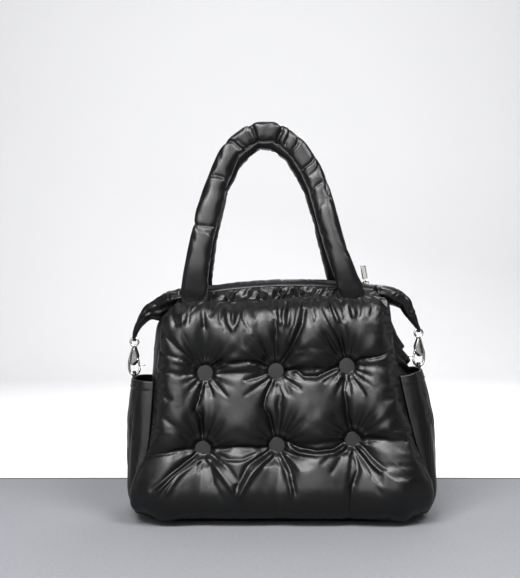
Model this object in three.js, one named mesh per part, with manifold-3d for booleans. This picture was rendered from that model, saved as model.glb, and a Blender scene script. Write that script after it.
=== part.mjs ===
// Padded tote bag: tufted front panel, plain back panel, side pockets, a closed zip and two padded handles.
// Millimetres. The bag stands on z = 0, its front faces -Y, and +X is on the right as seen from the front.
import * as THREE from "three";
import { mergeVertices } from "three/addons/utils/BufferGeometryUtils.js";
import Module from "manifold-3d";

const wasm = await Module();
wasm.setup();

const { clamp, lerp, smoothstep, degToRad } = THREE.MathUtils;

// Clearances between pieces that touch, and the distance within which points are one
const SEAT_GAP = 0.35;
const SEAM_GAP = 1.2;
const WELD = 1e-4;

// Base panel
const BASE_THICK = 8;
const BASE_HALF_WIDTH = 177;
const BASE_HALF_DEPTH = 58;
const BASE_SQUARENESS = 7;
const BASE_SIDES = 44;
const BASE_LEVELS = [
  { z: 0, inset: 9 },
  { z: 2.5, inset: 3 },
  { z: BASE_THICK, inset: 0 },
];

// Seam round the front and back panels: its two sides and its distance from the middle plane at each height
const SEAM = [
  { z: 8.4, left: -161, right: 158, depth: 57.5 },
  { z: 16, left: -166, right: 166, depth: 59 },
  { z: 30, left: -169, right: 171, depth: 60.5 },
  { z: 48, left: -166.5, right: 170, depth: 60.5 },
  { z: 62, left: -163, right: 165.5, depth: 60 },
  { z: 78, left: -157, right: 160, depth: 59 },
  { z: 95, left: -154, right: 154.5, depth: 58 },
  { z: 135, left: -151, right: 145, depth: 54.5 },
  { z: 166, left: -149, right: 138.5, depth: 51.5 },
  { z: 185, left: -147, right: 134.5, depth: 50 },
  { z: 210, left: -144, right: 131.5, depth: 47.5 },
  { z: 240, left: -140, right: 129, depth: 45 },
  { z: 257, left: -126, right: 127, depth: 44 },
];
const SEAM_BOTTOM = SEAM[0].z;
const SEAM_TOP = SEAM[SEAM.length - 1].z;

// Gathered top seam of the panels, from left to right
const TOP_SEAM = [
  { x: -126, z: 256 },
  { x: -99, z: 260.5 },
  { x: -80, z: 258.5 },
  { x: -46, z: 258.5 },
  { x: -7, z: 260.5 },
  { x: 25, z: 264 },
  { x: 60, z: 265 },
  { x: 100, z: 266 },
  { x: 120, z: 263 },
  { x: 127, z: 258 },
];

// Padding of the panels: flat lining inside, puffed cover outside
const LINING_BOTTOM = 52;
const LINING_TOP = 38;
const PUFF = 34;
const PUFF_REACH = { side: 46, top: 36, bottom: 38 };
const PUFF_ROUNDNESS = 2.2;
const TOP_SEAM_EASE = 6;
const FRONT_GRID = { columns: 32, rows: 24 };
const BACK_GRID = { columns: 20, rows: 15 };

// Tufting buttons on the front panel
const BUTTON_RADIUS = 9.2;
const BUTTON_SIDES = 12;
const BUTTON_GAP = 0.6;
const BUTTON_PROFILE = [
  { radius: 0, out: 0 },
  { radius: 0.5, out: 0 },
  { radius: 1, out: 1.9 },
  { radius: 1, out: 2.7 },
  { radius: 0.75, out: 4 },
  { radius: 0, out: 4.5 },
];
const BUTTONS = [
  { row: "upper", column: "left", x: -90, z: 175 },
  { row: "upper", column: "middle", x: -7, z: 177 },
  { row: "upper", column: "right", x: 76, z: 183 },
  { row: "lower", column: "left", x: -92, z: 88 },
  { row: "lower", column: "middle", x: -6, z: 91.5 },
  { row: "lower", column: "right", x: 82, z: 98 },
];
const TUFT = { depth: 0.84, floor: 15, reach: 22, fall: 1.2 };

// Folds pressed into the front panel, each a straight valley from one point to another
const FOLDS = [
  { x0: -80, z0: 177, x1: -17, z1: 179, depth: 8, width: 8 },
  { x0: 3, z0: 176, x1: 35, z1: 168, depth: 8, width: 8 },
  { x0: 35, z0: 168, x1: 67, z1: 181, depth: 8, width: 8 },
  { x0: -146, z0: 195, x1: -100, z1: 178, depth: 5, width: 7 },
  { x0: -146, z0: 226, x1: -100, z1: 183, depth: 6, width: 8 },
  { x0: 86, z0: 186, x1: 128, z1: 194, depth: 6, width: 8 },
  { x0: -91, z0: 162, x1: -100, z1: 133, depth: 7, width: 8 },
  { x0: -100, z0: 133, x1: -93, z1: 102, depth: 6, width: 8 },
  { x0: -8, z0: 165, x1: -18, z1: 125, depth: 7, width: 8 },
  { x0: -18, z0: 125, x1: -8, z1: 104, depth: 6, width: 8 },
  { x0: 78, z0: 170, x1: 74, z1: 139, depth: 7, width: 8 },
  { x0: 74, z0: 139, x1: 80, z1: 111, depth: 6, width: 8 },
  { x0: -81, z0: 88, x1: -49, z1: 65, depth: 6, width: 9 },
  { x0: -49, z0: 65, x1: -14, z1: 85, depth: 6, width: 9 },
  { x0: 4, z0: 97, x1: 32, z1: 82, depth: 8, width: 8 },
  { x0: 32, z0: 82, x1: 70, z1: 95, depth: 8, width: 8 },
  { x0: -97, z0: 80, x1: -139, z1: 41, depth: 6, width: 9 },
  { x0: -12, z0: 82, x1: -47, z1: 40, depth: 5, width: 8 },
  { x0: -3, z0: 82, x1: 12, z1: 40, depth: 5, width: 8 },
  { x0: 80, z0: 86, x1: 78, z1: 28, depth: 5, width: 8 },
  { x0: 90, z0: 92, x1: 118, z1: 68, depth: 5, width: 8 },
  { x0: -49, z0: 258, x1: -16, z1: 187, depth: 6, width: 8 },
  { x0: 27, z0: 240, x1: 0, z1: 187, depth: 5, width: 8 },
  { x0: 54, z0: 258, x1: 73, z1: 194, depth: 6, width: 8 },
];
const FOLD_FADE = 12;

// Gathers along the panels' top seam
const GATHER = { height: 2.4, pitch: 29, reach: 16 };

// Gussets: how far each bulges past the seam, at each height
const GUSSET_WALL = 4;
const GUSSET_ROUNDNESS = 2.5;
const GUSSET_INSET = 1;
const GUSSET_TOP = 252;
const GUSSET_GRID = { columns: 8, rows: 12 };
const GUSSET_BULGE = [
  { z: 8, left: 7, right: 7 },
  { z: 60, left: 10, right: 9 },
  { z: 120, left: 10, right: 14 },
  { z: 165, left: 9, right: 20 },
  { z: 185, left: 10, right: 21 },
  { z: 205, left: 11, right: 16 },
  { z: 220, left: 11, right: 11 },
  { z: 233, left: 9, right: 6 },
  { z: 245, left: 3, right: 2 },
  { z: 252, left: 0, right: 0 },
];

// Pockets: outer face of each wall at mid depth, at each height
const POCKET_WALL = 3;
const POCKET_INSET = 3.5;
const POCKET_ROUNDNESS = 0.7;
const POCKET_GRID = { columns: 16, rows: 8 };
const POCKET_SPREAD = 1.6;
const POCKET_FACE = [
  { z: 8, left: 176, right: 176 },
  { z: 30, left: 184, right: 185 },
  { z: 60, left: 186, right: 186 },
  { z: 110, left: 186, right: 184.5 },
  { z: 140, left: 184, right: 179.5 },
  { z: 166, left: 181, right: 173.5 },
  { z: 177, left: 180, right: 170 },
];
const SIDES = [
  { side: "left", sign: -1, rimMid: 166, rimSeam: 164, hookX: -179.6 },
  { side: "right", sign: 1, rimMid: 177, rimSeam: 171, hookX: 168.6 },
];

// Top of the bag: ridge of the zip bands, facings below it, zip between them
const RIDGE = { x: 20, z: 285, fall: 7e-4 };
const BAND_END = 125;
const BAND_STEPS = 12;
const BAND_SECTION = [
  { y: 25.5, down: 8 },
  { y: 22, down: 3.6 },
  { y: 16, down: 0.4 },
  { y: 11, down: 0 },
  { y: 6.5, down: 1.6 },
  { y: 4.6, down: 4 },
  { y: 6.6, down: 5 },
  { y: 11.5, down: 2.9 },
  { y: 16.5, down: 3.6 },
  { y: 22.8, down: 8.8 },
];
const FACING = { thick: 2.5, footGap: 0.7, bottom: 41, top: 25, belowRidge: 8.4, halfWidth: 123 };
const RUFFLE = { height: 3.2, pitch: 31, drift: 0.35 };
const FACING_GRID = { front: 34, back: 22, rows: 3 };
const ZIP_STEPS = 12;
const TAPE = { half: 4.2, below: 4.4, thick: 1, shoulder: 0.3 };
const CHAIN = { half: 2.6, below: 2.3, thick: 1.75, shoulder: 0.6 };

// Facets round wires, bars and corners of the metal pieces
const WIRE_SIDES = 6;
const BAR_SIDES = 8;
const CORNER_FACETS = 2;

// Zip slider and its pull
const SLIDER_X = 104;
const SLIDER = { length: 9.5, width: 7.2, thick: 1.9, corner: 2 };
const SLIDER_FOOT = SEAT_GAP - CHAIN.below;
const SLIDER_TOP = SLIDER_FOOT + SLIDER.thick;
const BRIDGE = { half: 3.2, wire: 0.8, rise: 4.2, roundness: 0.8, steps: 6 };
const PULL_LINK = { half: 2.9, height: 4.6, wire: 0.75, pivot: 1.1, roundness: 0.6, corners: 10 };
const PULL_PLATE = { width: 8.5, height: 17, thick: 1.6, corner: 1.6 };
const PULL_TWIST = degToRad(42);
const PULL_LEAN = degToRad(-17);

// Ears: the folded ends of the bands, from the root to the tip that holds the hook
const EAR_SIDES = 10;
const EAR_STEPS = 14;
const EARS = {
  left: [
    { x: -125.4, z: 263, half: 6, depth: 20 },
    { x: -143, z: 258, half: 6.3, depth: 18 },
    { x: -156, z: 249.5, half: 6.8, depth: 15 },
    { x: -166, z: 239.5, half: 6.4, depth: 12 },
    { x: -173, z: 230, half: 4.8, depth: 9 },
    { x: -178, z: 221, half: 3.2, depth: 5.5 },
    { x: -179.6, z: 214, half: 2.3, depth: 3.1 },
    { x: -179.6, z: 209.2, half: 2.2, depth: 2.9 },
  ],
  right: [
    { x: 125.4, z: 268, half: 6, depth: 20 },
    { x: 140, z: 262.5, half: 6.3, depth: 18 },
    { x: 152, z: 253.5, half: 6.8, depth: 15 },
    { x: 159.5, z: 245.5, half: 6.2, depth: 12 },
    { x: 164.8, z: 238, half: 4.8, depth: 9 },
    { x: 167.8, z: 231, half: 3.2, depth: 5.5 },
    { x: 168.6, z: 225, half: 2.3, depth: 3.1 },
    { x: 168.6, z: 220.2, half: 2.2, depth: 2.9 },
  ],
};

// Snap hooks, measured up from the middle of the claw's lowest wire
const CLAW_ABOVE_RIM = 2.2;
const EYE = { up: 40, radius: 4.9, wire: 1.2, facets: 12 };
const STEM = { radius: 1.5, foot: 29.5 };
const COLLAR = { radius: 3.2, foot: 33, top: 34.4 };
const SOCKET = { radius: 1.95, foot: 28.8 };
const HOOK_BODY = [
  { x: -3.4, z: 13.5, half: 4.3, depth: 2.6 },
  { x: -0.6, z: 18, half: 6.2, depth: 3 },
  { x: 0, z: 24, half: 6, depth: 3.2 },
  { x: 0, z: 29, half: 4.5, depth: 3.4 },
  { x: 0, z: 32.65, half: 3.5, depth: 3.4 },
];
const CLAW = [
  { x: -6.2, z: 17, wire: 1.6 },
  { x: -6.4, z: 11, wire: 1.6 },
  { x: -6.2, z: 6, wire: 1.6 },
  { x: -4.4, z: 1.8, wire: 1.6 },
  { x: 0, z: 0, wire: 1.6 },
  { x: 4.4, z: 1.8, wire: 1.5 },
  { x: 6.2, z: 5.4, wire: 1.4 },
  { x: 6.4, z: 8, wire: 1.2 },
];
const CLAW_STEPS = 11;
const GATE_PIVOT = { x: 4.2, z: 18.5, pin: 0.8, hole: 1.2 };
const GATE_SLOT = { x: 5, z: 17.2, width: 8, height: 9, thick: 2.7 };
const GATE = [
  { x: 3.9, z: 20, half: 1.5 },
  { x: 4.5, z: 17, half: 1.7 },
  { x: 5.6, z: 13, half: 1.3 },
  { x: 6.3, z: 9.6, half: 1.1 },
];
const GATE_HALF_THICK = 1.05;
const THUMB_TAB = { x0: 5.6, z0: 12, x1: 13.2, z1: 11.6, half: 0.9 };
const EYE_SLOT = { foot: 42.3, top: 46.6, halfDepth: 1.7, reach: 8 };

// Cloth loop on each pocket rim
const LOOP = { half: 6.6, rise: 5.9, thick: 1.4, width: 3.6, roundness: 0.6, steps: 8 };

// Handles, from the left leg over the top to the right leg
const HANDLE_STEPS = 32;
const HANDLE_SIDES = 12;
const HANDLE_FOOT_GAP = 0.45;
const HANDLES = {
  front: [
    { x: -100, z: 261.5, half: 16.5 },
    { x: -101, z: 272, half: 15.5 },
    { x: -102, z: 290, half: 13.2 },
    { x: -97, z: 320, half: 12.5 },
    { x: -88, z: 362, half: 12.5 },
    { x: -76, z: 404, half: 12.5 },
    { x: -61, z: 440, half: 12.5 },
    { x: -33, z: 461, half: 12.5 },
    { x: -7, z: 462.5, half: 12.5 },
    { x: 19, z: 442, half: 12.5 },
    { x: 34, z: 420, half: 12.5 },
    { x: 45, z: 394, half: 12.5 },
    { x: 52, z: 366, half: 12.5 },
    { x: 65, z: 318, half: 12.5 },
    { x: 76, z: 288, half: 13.2 },
    { x: 80, z: 275, half: 15.5 },
    { x: 81.5, z: 266, half: 16.5 },
  ],
  back: [
    { x: -100, z: 261.5, half: 16.5 },
    { x: -100, z: 272, half: 15.5 },
    { x: -99, z: 290, half: 13.2 },
    { x: -95, z: 320, half: 12.5 },
    { x: -87, z: 358, half: 12.5 },
    { x: -78, z: 396, half: 12.5 },
    { x: -58, z: 434, half: 12.5 },
    { x: -30, z: 458, half: 12.5 },
    { x: -8, z: 457, half: 12.5 },
    { x: 15, z: 440, half: 12.5 },
    { x: 30, z: 418, half: 12.5 },
    { x: 41, z: 396, half: 12.5 },
    { x: 52, z: 362, half: 12.5 },
    { x: 64, z: 316, half: 12.5 },
    { x: 72, z: 288, half: 13.2 },
    { x: 75, z: 275, half: 15.5 },
    { x: 76, z: 266, half: 16.5 },
  ],
};
const HANDLE_DEPTH = { foot: 4.8, full: 11, rise: 45 };
const HANDLE_LEAN = { foot: 46.2, top: 15, low: 262, high: 465 };

// Finishes
const FINISHES = {
  nylon: { color: 0x141416, roughness: 0.38, metalness: 0 },
  tape: { color: 0x101011, roughness: 0.8, metalness: 0 },
  coil: { color: 0x0c0c0d, roughness: 0.3, metalness: 0 },
  metal: { color: 0xb9b8b2, roughness: 0.22, metalness: 1 },
};

const DEPTHWISE = new THREE.Vector3(0, 1, 0);
const point = (x, y, z) => new THREE.Vector3(x, y, z);

// Smooth value of one column of a table at a place along its key column
function read(rows, key, place, column) {
  const last = rows.length - 1;
  const found = rows.findIndex((row) => row[key] > place);
  const next = found < 0 ? last : Math.max(1, found);
  const [before, a, b, after] = [-2, -1, 0, 1].map((step) => rows[clamp(next + step, 0, last)]);
  const span = b[key] - a[key];
  const t = clamp((place - a[key]) / span, 0, 1);
  const leaving = ((b[column] - before[column]) / (b[key] - before[key])) * span;
  const arriving = ((after[column] - a[column]) / (after[key] - a[key])) * span;
  const bend = a[column] - b[column];
  const cubic = 2 * bend + leaving + arriving;
  const square = -3 * bend - 2 * leaving - arriving;
  return ((cubic * t + square) * t + leaving) * t + a[column];
}

// A table read at even steps from its first row to its last
function resample(rows, steps) {
  const numbered = rows.map((row, step) => ({ ...row, step }));
  const columns = Object.keys(rows[0]);
  return Array.from({ length: steps + 1 }, (_, i) => {
    const place = (i / steps) * (rows.length - 1);
    return Object.fromEntries(columns.map((column) => [column, read(numbered, "step", place, column)]));
  });
}

// Geometry of one closed body, with its faces turned outwards
function closedBody(points, faces) {
  const volume = faces.reduce((sum, [a, b, c]) => sum + points[a].dot(points[b].clone().cross(points[c])), 0);
  const outward = volume < 0 ? faces.map(([a, b, c]) => [a, c, b]) : faces;
  const geometry = new THREE.BufferGeometry().setFromPoints(points);
  geometry.setIndex(outward.flat());
  geometry.computeVertexNormals();
  return geometry;
}

// Triangles that fill a flat loop of points, wound the way the loop runs
function fillLoop(loop) {
  const normal = point(0, 0, 0);
  loop.forEach((here, i) => normal.add(here.clone().cross(loop[(i + 1) % loop.length])));
  normal.normalize();
  const across = loop[1].clone().sub(loop[0]).normalize();
  const up = normal.clone().cross(across);
  const flat = loop.map((p) => new THREE.Vector2(p.dot(across), p.dot(up)));
  return THREE.ShapeUtils.triangulateShape(flat, []).map(([a, b, c]) => {
    const turn = flat[b].clone().sub(flat[a]).cross(flat[c].clone().sub(flat[a]));
    return turn < 0 ? [a, c, b] : [a, b, c];
  });
}

// Body through rings of points, with flat ends or joined end to end
function loft(rings, joined = false) {
  const sides = rings[0].length;
  const faces = [];
  const spans = joined ? rings.length : rings.length - 1;
  for (let i = 0; i < spans; i++) {
    const here = i * sides;
    const there = ((i + 1) % rings.length) * sides;
    for (let k = 0; k < sides; k++) {
      const next = (k + 1) % sides;
      faces.push([here + k, here + next, there + next], [here + k, there + next, there + k]);
    }
  }
  if (!joined) {
    const end = (rings.length - 1) * sides;
    fillLoop(rings[0]).forEach(([a, b, c]) => faces.push([a, c, b]));
    fillLoop(rings[rings.length - 1]).forEach(([a, b, c]) => faces.push([end + a, end + b, end + c]));
  }
  return closedBody(rings.flat(), faces);
}

// Oval tube through stations; an end may be levelled to a plane square to x or z
function sweep(stations, sides, { first = null, last = null, joined = false } = {}) {
  const count = stations.length;
  const centres = stations.map((s) => point(s.x, s.y ?? 0, s.z));
  const pick = (i) => centres[joined ? (i + count) % count : clamp(i, 0, count - 1)];
  const rings = stations.map((s, i) => {
    const along = pick(i + 1).clone().sub(pick(i - 1)).normalize();
    const across = along.clone().cross(DEPTHWISE).normalize();
    const deep = across.clone().cross(along);
    const level = i === 0 ? first : i === count - 1 ? last : null;
    return Array.from({ length: sides }, (_, k) => {
      const turn = (2 * Math.PI * (k + 0.5)) / sides;
      const place = centres[i].clone();
      place.addScaledVector(across, s.half * Math.cos(turn));
      place.addScaledVector(deep, s.depth * Math.sin(turn));
      if (level) place[level] = centres[i][level];
      return place;
    });
  });
  return loft(rings, joined);
}

// Points of a grid over a surface given by a function of two fractions
function gridPoints({ columns, rows }, surface) {
  const points = [];
  for (let j = 0; j <= rows; j++) {
    for (let i = 0; i <= columns; i++) points.push(surface(i / columns, j / rows));
  }
  return points;
}

// Two triangles for each cell of a grid
function gridFaces({ columns, rows }) {
  const stride = columns + 1;
  const faces = [];
  for (let j = 0; j < rows; j++) {
    for (let i = 0; i < columns; i++) {
      const a = j * stride + i;
      faces.push([a, a + 1, a + stride + 1], [a, a + stride + 1, a + stride]);
    }
  }
  return faces;
}

// Point numbers round the border of a grid
function gridBorder({ columns, rows }) {
  const stride = columns + 1;
  const border = [];
  for (let i = 0; i < columns; i++) border.push(i);
  for (let j = 0; j < rows; j++) border.push(j * stride + columns);
  for (let i = columns; i > 0; i--) border.push(rows * stride + i);
  for (let j = rows; j > 0; j--) border.push(j * stride);
  return border;
}

// Wall of cloth between an outer and an inner surface
function clothWall(grid, outer, inner) {
  const points = [...gridPoints(grid, outer), ...gridPoints(grid, inner)];
  const layer = points.length / 2;
  const front = gridFaces(grid);
  const back = front.map(([a, b, c]) => [layer + a, layer + c, layer + b]);
  const border = gridBorder(grid);
  const edges = border.flatMap((p, k) => {
    const q = border[(k + 1) % border.length];
    return [[p, layer + p, layer + q], [p, layer + q, q]];
  });
  return closedBody(points, [...front, ...back, ...edges]);
}

// Padded panel: a puffed cover over a flat lining
function paddedPanel(grid, cover, liningAt) {
  const points = gridPoints(grid, cover);
  const border = gridBorder(grid);
  const first = points.length;
  const lining = border.map((p) => liningAt(points[p]));
  const edges = border.flatMap((p, k) => {
    const next = (k + 1) % border.length;
    return [[p, first + k, first + next], [p, first + next, border[next]]];
  });
  const fill = fillLoop(lining).map(([a, b, c]) => [first + a, first + c, first + b]);
  return closedBody([...points, ...lining], [...gridFaces(grid), ...edges, ...fill]);
}

// Solids for joining and cutting
function toSolid(geometry) {
  const bare = new THREE.BufferGeometry().setAttribute("position", geometry.getAttribute("position"));
  if (geometry.index) bare.setIndex(geometry.index);
  const merged = mergeVertices(bare, WELD);
  const vertProperties = new Float32Array(merged.getAttribute("position").array);
  const triVerts = new Uint32Array(merged.index.array);
  return new wasm.Manifold(new wasm.Mesh({ numProp: 3, vertProperties, triVerts }));
}

function fromSolid(made) {
  const mesh = made.getMesh();
  const geometry = new THREE.BufferGeometry();
  geometry.setAttribute("position", new THREE.BufferAttribute(mesh.vertProperties, 3));
  geometry.setIndex(new THREE.BufferAttribute(mesh.triVerts, 1));
  geometry.computeVertexNormals();
  return geometry;
}

const join = (...pieces) => fromSolid(pieces.map(toSolid).reduce((whole, next) => whole.add(next)));
const cut = (piece, ...tools) =>
  fromSolid(tools.map(toSolid).reduce((whole, tool) => whole.subtract(tool), toSolid(piece)));

// Upright round bar between two heights, and a crosswise one along Y
function uprightBar(radius, foot, top) {
  const bar = new THREE.CylinderGeometry(radius, radius, top - foot, BAR_SIDES);
  return bar.rotateX(Math.PI / 2).translate(0, 0, (foot + top) / 2);
}

function crossBar(radius, length, { x, z }) {
  return new THREE.CylinderGeometry(radius, radius, length, BAR_SIDES).translate(x, 0, z);
}

const bag = new THREE.Group();

function addPiece(name, geometry, finish, parent = bag) {
  const mesh = new THREE.Mesh(geometry, new THREE.MeshStandardMaterial(FINISHES[finish]));
  mesh.name = name;
  parent.add(mesh);
  return mesh;
}

// Measures of the bag at a height or at a place across it
const seamAt = (z, column) => read(SEAM, "z", z, column);
const topSeamAt = (x) => read(TOP_SEAM, "x", x, "z");
const ridgeAt = (x) => RIDGE.z - RIDGE.fall * (x - RIDGE.x) ** 2;
const liningAt = (z) => lerp(LINING_BOTTOM, LINING_TOP, z / SEAM_TOP);

function basePanel() {
  const rings = BASE_LEVELS.map(({ z, inset }) =>
    Array.from({ length: BASE_SIDES }, (_, k) => {
      const turn = (2 * Math.PI * (k + 0.5)) / BASE_SIDES;
      const corner = (value) => Math.sign(value) * Math.abs(value) ** (2 / BASE_SQUARENESS);
      const x = (BASE_HALF_WIDTH - inset) * corner(Math.cos(turn));
      const y = (BASE_HALF_DEPTH - inset) * corner(Math.sin(turn));
      return point(x, y, z);
    }),
  );
  return loft(rings);
}

// Distance from a point of the panel to a fold's line
function distanceToFold({ x0, z0, x1, z1 }, x, z) {
  const along = ((x - x0) * (x1 - x0) + (z - z0) * (z1 - z0)) / ((x1 - x0) ** 2 + (z1 - z0) ** 2);
  const t = clamp(along, 0, 1);
  return Math.hypot(x - lerp(x0, x1, t), z - lerp(z0, z1, t));
}

// Rise of the padding from a seam
const dome = (distance, reach) => 1 - (1 - clamp(distance / reach, 0, 1)) ** PUFF_ROUNDNESS;

// A panel's point in the plane of its seam, with its distances to the seam's four sides
function panelPlace(u, v) {
  const level = lerp(SEAM_BOTTOM, SEAM_TOP, v);
  const left = seamAt(level, "left");
  const right = seamAt(level, "right");
  const x = lerp(left, right, u);
  const z = level + (topSeamAt(x) - SEAM_TOP) * v ** TOP_SEAM_EASE;
  const side = Math.min(x - left, right - x);
  const height = SEAM_TOP - SEAM_BOTTOM;
  return { x, z, side, top: (1 - v) * height, bottom: v * height, depth: seamAt(level, "depth") };
}

function plainPuff({ x, side, top, bottom }) {
  const upright = dome(top, PUFF_REACH.top) * dome(bottom, PUFF_REACH.bottom);
  const rise = PUFF * dome(side, PUFF_REACH.side) * upright;
  const nearSeam = Math.exp(-top / GATHER.reach) * smoothstep(top, 0, GATHER.reach / 2);
  const gather = GATHER.height * nearSeam * smoothstep(side, 0, GATHER.reach);
  return rise + gather * Math.cos((2 * Math.PI * x) / GATHER.pitch);
}

function tuftedPuff(place) {
  const { x, z } = place;
  const rise = plainPuff(place);
  const pulled = BUTTONS.reduce((left, button) => {
    const away = Math.max(0, Math.hypot(x - button.x, z - button.z) - TUFT.floor);
    return left * (1 - TUFT.depth * Math.exp(-((away / TUFT.reach) ** TUFT.fall)));
  }, rise);
  const onFloor = BUTTONS.some((button) => Math.hypot(x - button.x, z - button.z) < TUFT.floor);
  if (onFloor) return pulled;
  const pressed = FOLDS.reduce((sum, fold) => {
    return Math.max(sum, fold.depth * Math.exp(-((distanceToFold(fold, x, z) / fold.width) ** 2)));
  }, 0);
  return pulled - pressed * clamp(pulled / FOLD_FADE, 0, 1);
}

function panel(grid, facing, puff) {
  const cover = (u, v) => {
    const place = panelPlace(u, v);
    return point(place.x, facing * (place.depth + puff(place)), place.z);
  };
  return paddedPanel(grid, cover, (edge) => point(edge.x, facing * liningAt(edge.z), edge.z));
}

// Puff of the front panel at a button's place
function coverAt({ x, z }) {
  const left = seamAt(z, "left");
  const right = seamAt(z, "right");
  const place = panelPlace((x - left) / (right - left), (z - SEAM_BOTTOM) / (SEAM_TOP - SEAM_BOTTOM));
  return place.depth + tuftedPuff(place);
}

function button(place) {
  const profile = BUTTON_PROFILE.map(({ radius, out }) => new THREE.Vector2(radius * BUTTON_RADIUS, out));
  const disc = new THREE.LatheGeometry(profile, BUTTON_SIDES);
  return disc.rotateX(Math.PI).translate(place.x, -coverAt(place) - BUTTON_GAP, place.z);
}

function gusset({ side, sign }) {
  const surface = (inset) => (u, v) => {
    const z = lerp(BASE_THICK + SEAT_GAP, GUSSET_TOP, v);
    const reach = liningAt(z) - SEAT_GAP;
    const bulge = read(GUSSET_BULGE, "z", z, side) * (1 - Math.abs(2 * u - 1) ** GUSSET_ROUNDNESS);
    const out = Math.abs(seamAt(z, side)) - GUSSET_INSET + bulge - inset;
    return point(sign * out, lerp(-reach, reach, u), z);
  };
  return clothWall(GUSSET_GRID, surface(0), surface(GUSSET_WALL));
}

function pocketWall({ side, sign, rimMid, rimSeam }) {
  const surface = (inset) => (u, v) => {
    const turn = Math.PI * u;
    const rim = lerp(rimSeam, rimMid, Math.sin(turn));
    const z = lerp(BASE_THICK + SEAT_GAP, rim, v ** POCKET_SPREAD);
    const root = Math.abs(seamAt(z, side)) + SEAM_GAP;
    const width = read(POCKET_FACE, "z", z, side) - root - inset;
    const depth = seamAt(z, "depth") - POCKET_INSET - inset;
    const out = Math.sin(turn) ** POCKET_ROUNDNESS;
    const back = -Math.sign(Math.cos(turn)) * Math.abs(Math.cos(turn)) ** POCKET_ROUNDNESS;
    return point(sign * (root + width * out), depth * back, z);
  };
  return clothWall(POCKET_GRID, surface(0), surface(POCKET_WALL));
}

// Ruffled strip from a panel's top seam up to its zip band
function facing(columns, sign) {
  const surface = (inset) => (u, v) => {
    const x = lerp(-FACING.halfWidth, FACING.halfWidth, u);
    const wave = Math.sin((2 * Math.PI * x) / RUFFLE.pitch + RUFFLE.drift * Math.sin(x / RUFFLE.pitch));
    const ruffle = RUFFLE.height * wave * Math.sin(Math.PI * v) ** 2;
    const y = lerp(FACING.bottom, FACING.top, v) + ruffle - inset * FACING.thick;
    const foot = topSeamAt(x) + FACING.footGap;
    const z = lerp(foot, ridgeAt(x) - FACING.belowRidge, v) - (inset * v * FACING.thick) / 2;
    return point(x, sign * y, z);
  };
  return clothWall({ columns, rows: FACING_GRID.rows }, surface(0), surface(1));
}

// Strip of constant section that follows the ridge of the bag's top
function ridgeStrip(section, steps, sign = 1) {
  const rings = Array.from({ length: steps + 1 }, (_, i) => {
    const x = lerp(-BAND_END, BAND_END, i / steps);
    return section.map(({ y, down }) => point(x, sign * y, ridgeAt(x) - down));
  });
  return loft(rings);
}

function flatSection({ half, below, thick, shoulder }) {
  return [
    { y: -half, down: below + thick },
    { y: half, down: below + thick },
    { y: half, down: below + shoulder },
    { y: half - shoulder, down: below },
    { y: shoulder - half, down: below },
    { y: -half, down: below + shoulder },
  ];
}

// Plate with rounded corners, lying flat on z = 0
function roundedPlate(length, width, thick, corner) {
  const outline = new THREE.Shape();
  const x = length / 2 - corner;
  const y = width / 2 - corner;
  outline.absarc(x, y, corner, 0, Math.PI / 2);
  outline.absarc(-x, y, corner, Math.PI / 2, Math.PI);
  outline.absarc(-x, -y, corner, Math.PI, 1.5 * Math.PI);
  outline.absarc(x, -y, corner, 1.5 * Math.PI, 2 * Math.PI);
  const options = { depth: thick, bevelEnabled: false, curveSegments: CORNER_FACETS };
  return new THREE.ExtrudeGeometry(outline, options);
}

// Slider with an arched bridge over its top, measured from the ridge's height
function slider() {
  const plate = roundedPlate(SLIDER.length, SLIDER.width, SLIDER.thick, SLIDER.corner);
  plate.translate(0, 0, SLIDER_FOOT);
  const arch = Array.from({ length: BRIDGE.steps + 1 }, (_, i) => {
    const turn = (Math.PI * i) / BRIDGE.steps;
    const x = -BRIDGE.half * Math.cos(turn);
    const z = SLIDER_TOP - BRIDGE.wire + BRIDGE.rise * Math.sin(turn) ** BRIDGE.roundness;
    return { x, z, half: BRIDGE.wire, depth: BRIDGE.wire };
  });
  return join(plate, sweep(arch, WIRE_SIDES));
}

// Pull: a wire link under the bridge, soldered to a plate that stands turned and leaning
function zipPull() {
  const { corners, half, height, wire } = PULL_LINK;
  const side = point(1, 0, 0);
  const link = Array.from({ length: corners }, (_, i) => {
    const turn = (2 * Math.PI * (i + 0.5)) / corners;
    const round = (value) => Math.sign(value) * Math.abs(value) ** PULL_LINK.roundness;
    return point(0, half * round(Math.cos(turn)), (height / 2) * (1 + round(Math.sin(turn))));
  });
  const rings = link.map((centre, i) => {
    const along = link[(i + 1) % corners].clone().sub(link[(i - 1 + corners) % corners]).normalize();
    const out = along.clone().cross(side);
    return Array.from({ length: WIRE_SIDES }, (_, k) => {
      const turn = (2 * Math.PI * k) / WIRE_SIDES;
      const place = centre.clone().addScaledVector(side, wire * Math.cos(turn));
      return place.addScaledVector(out, wire * Math.sin(turn));
    });
  });
  const plate = roundedPlate(PULL_PLATE.width, PULL_PLATE.height, PULL_PLATE.thick, PULL_PLATE.corner);
  plate.translate(0, PULL_PLATE.height / 2, -PULL_PLATE.thick / 2).rotateX(Math.PI / 2);
  plate.rotateZ(PULL_TWIST).translate(0, 0, height - wire / 2);
  return join(loft(rings, true), plate).rotateY(PULL_LEAN);
}

function ear(side) {
  const stations = resample(EARS[side], EAR_STEPS);
  const cloth = sweep(stations, EAR_SIDES, { first: "x", last: "z" });
  const { rimMid, hookX } = SIDES.find((row) => row.side === side);
  const foot = rimMid + CLAW_ABOVE_RIM;
  const height = EYE_SLOT.top - EYE_SLOT.foot;
  const slot = new THREE.BoxGeometry(EYE_SLOT.reach, 2 * EYE_SLOT.halfDepth, height);
  slot.translate(hookX, 0, foot + EYE_SLOT.foot + height / 2);
  return cut(cloth, slot);
}

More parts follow.
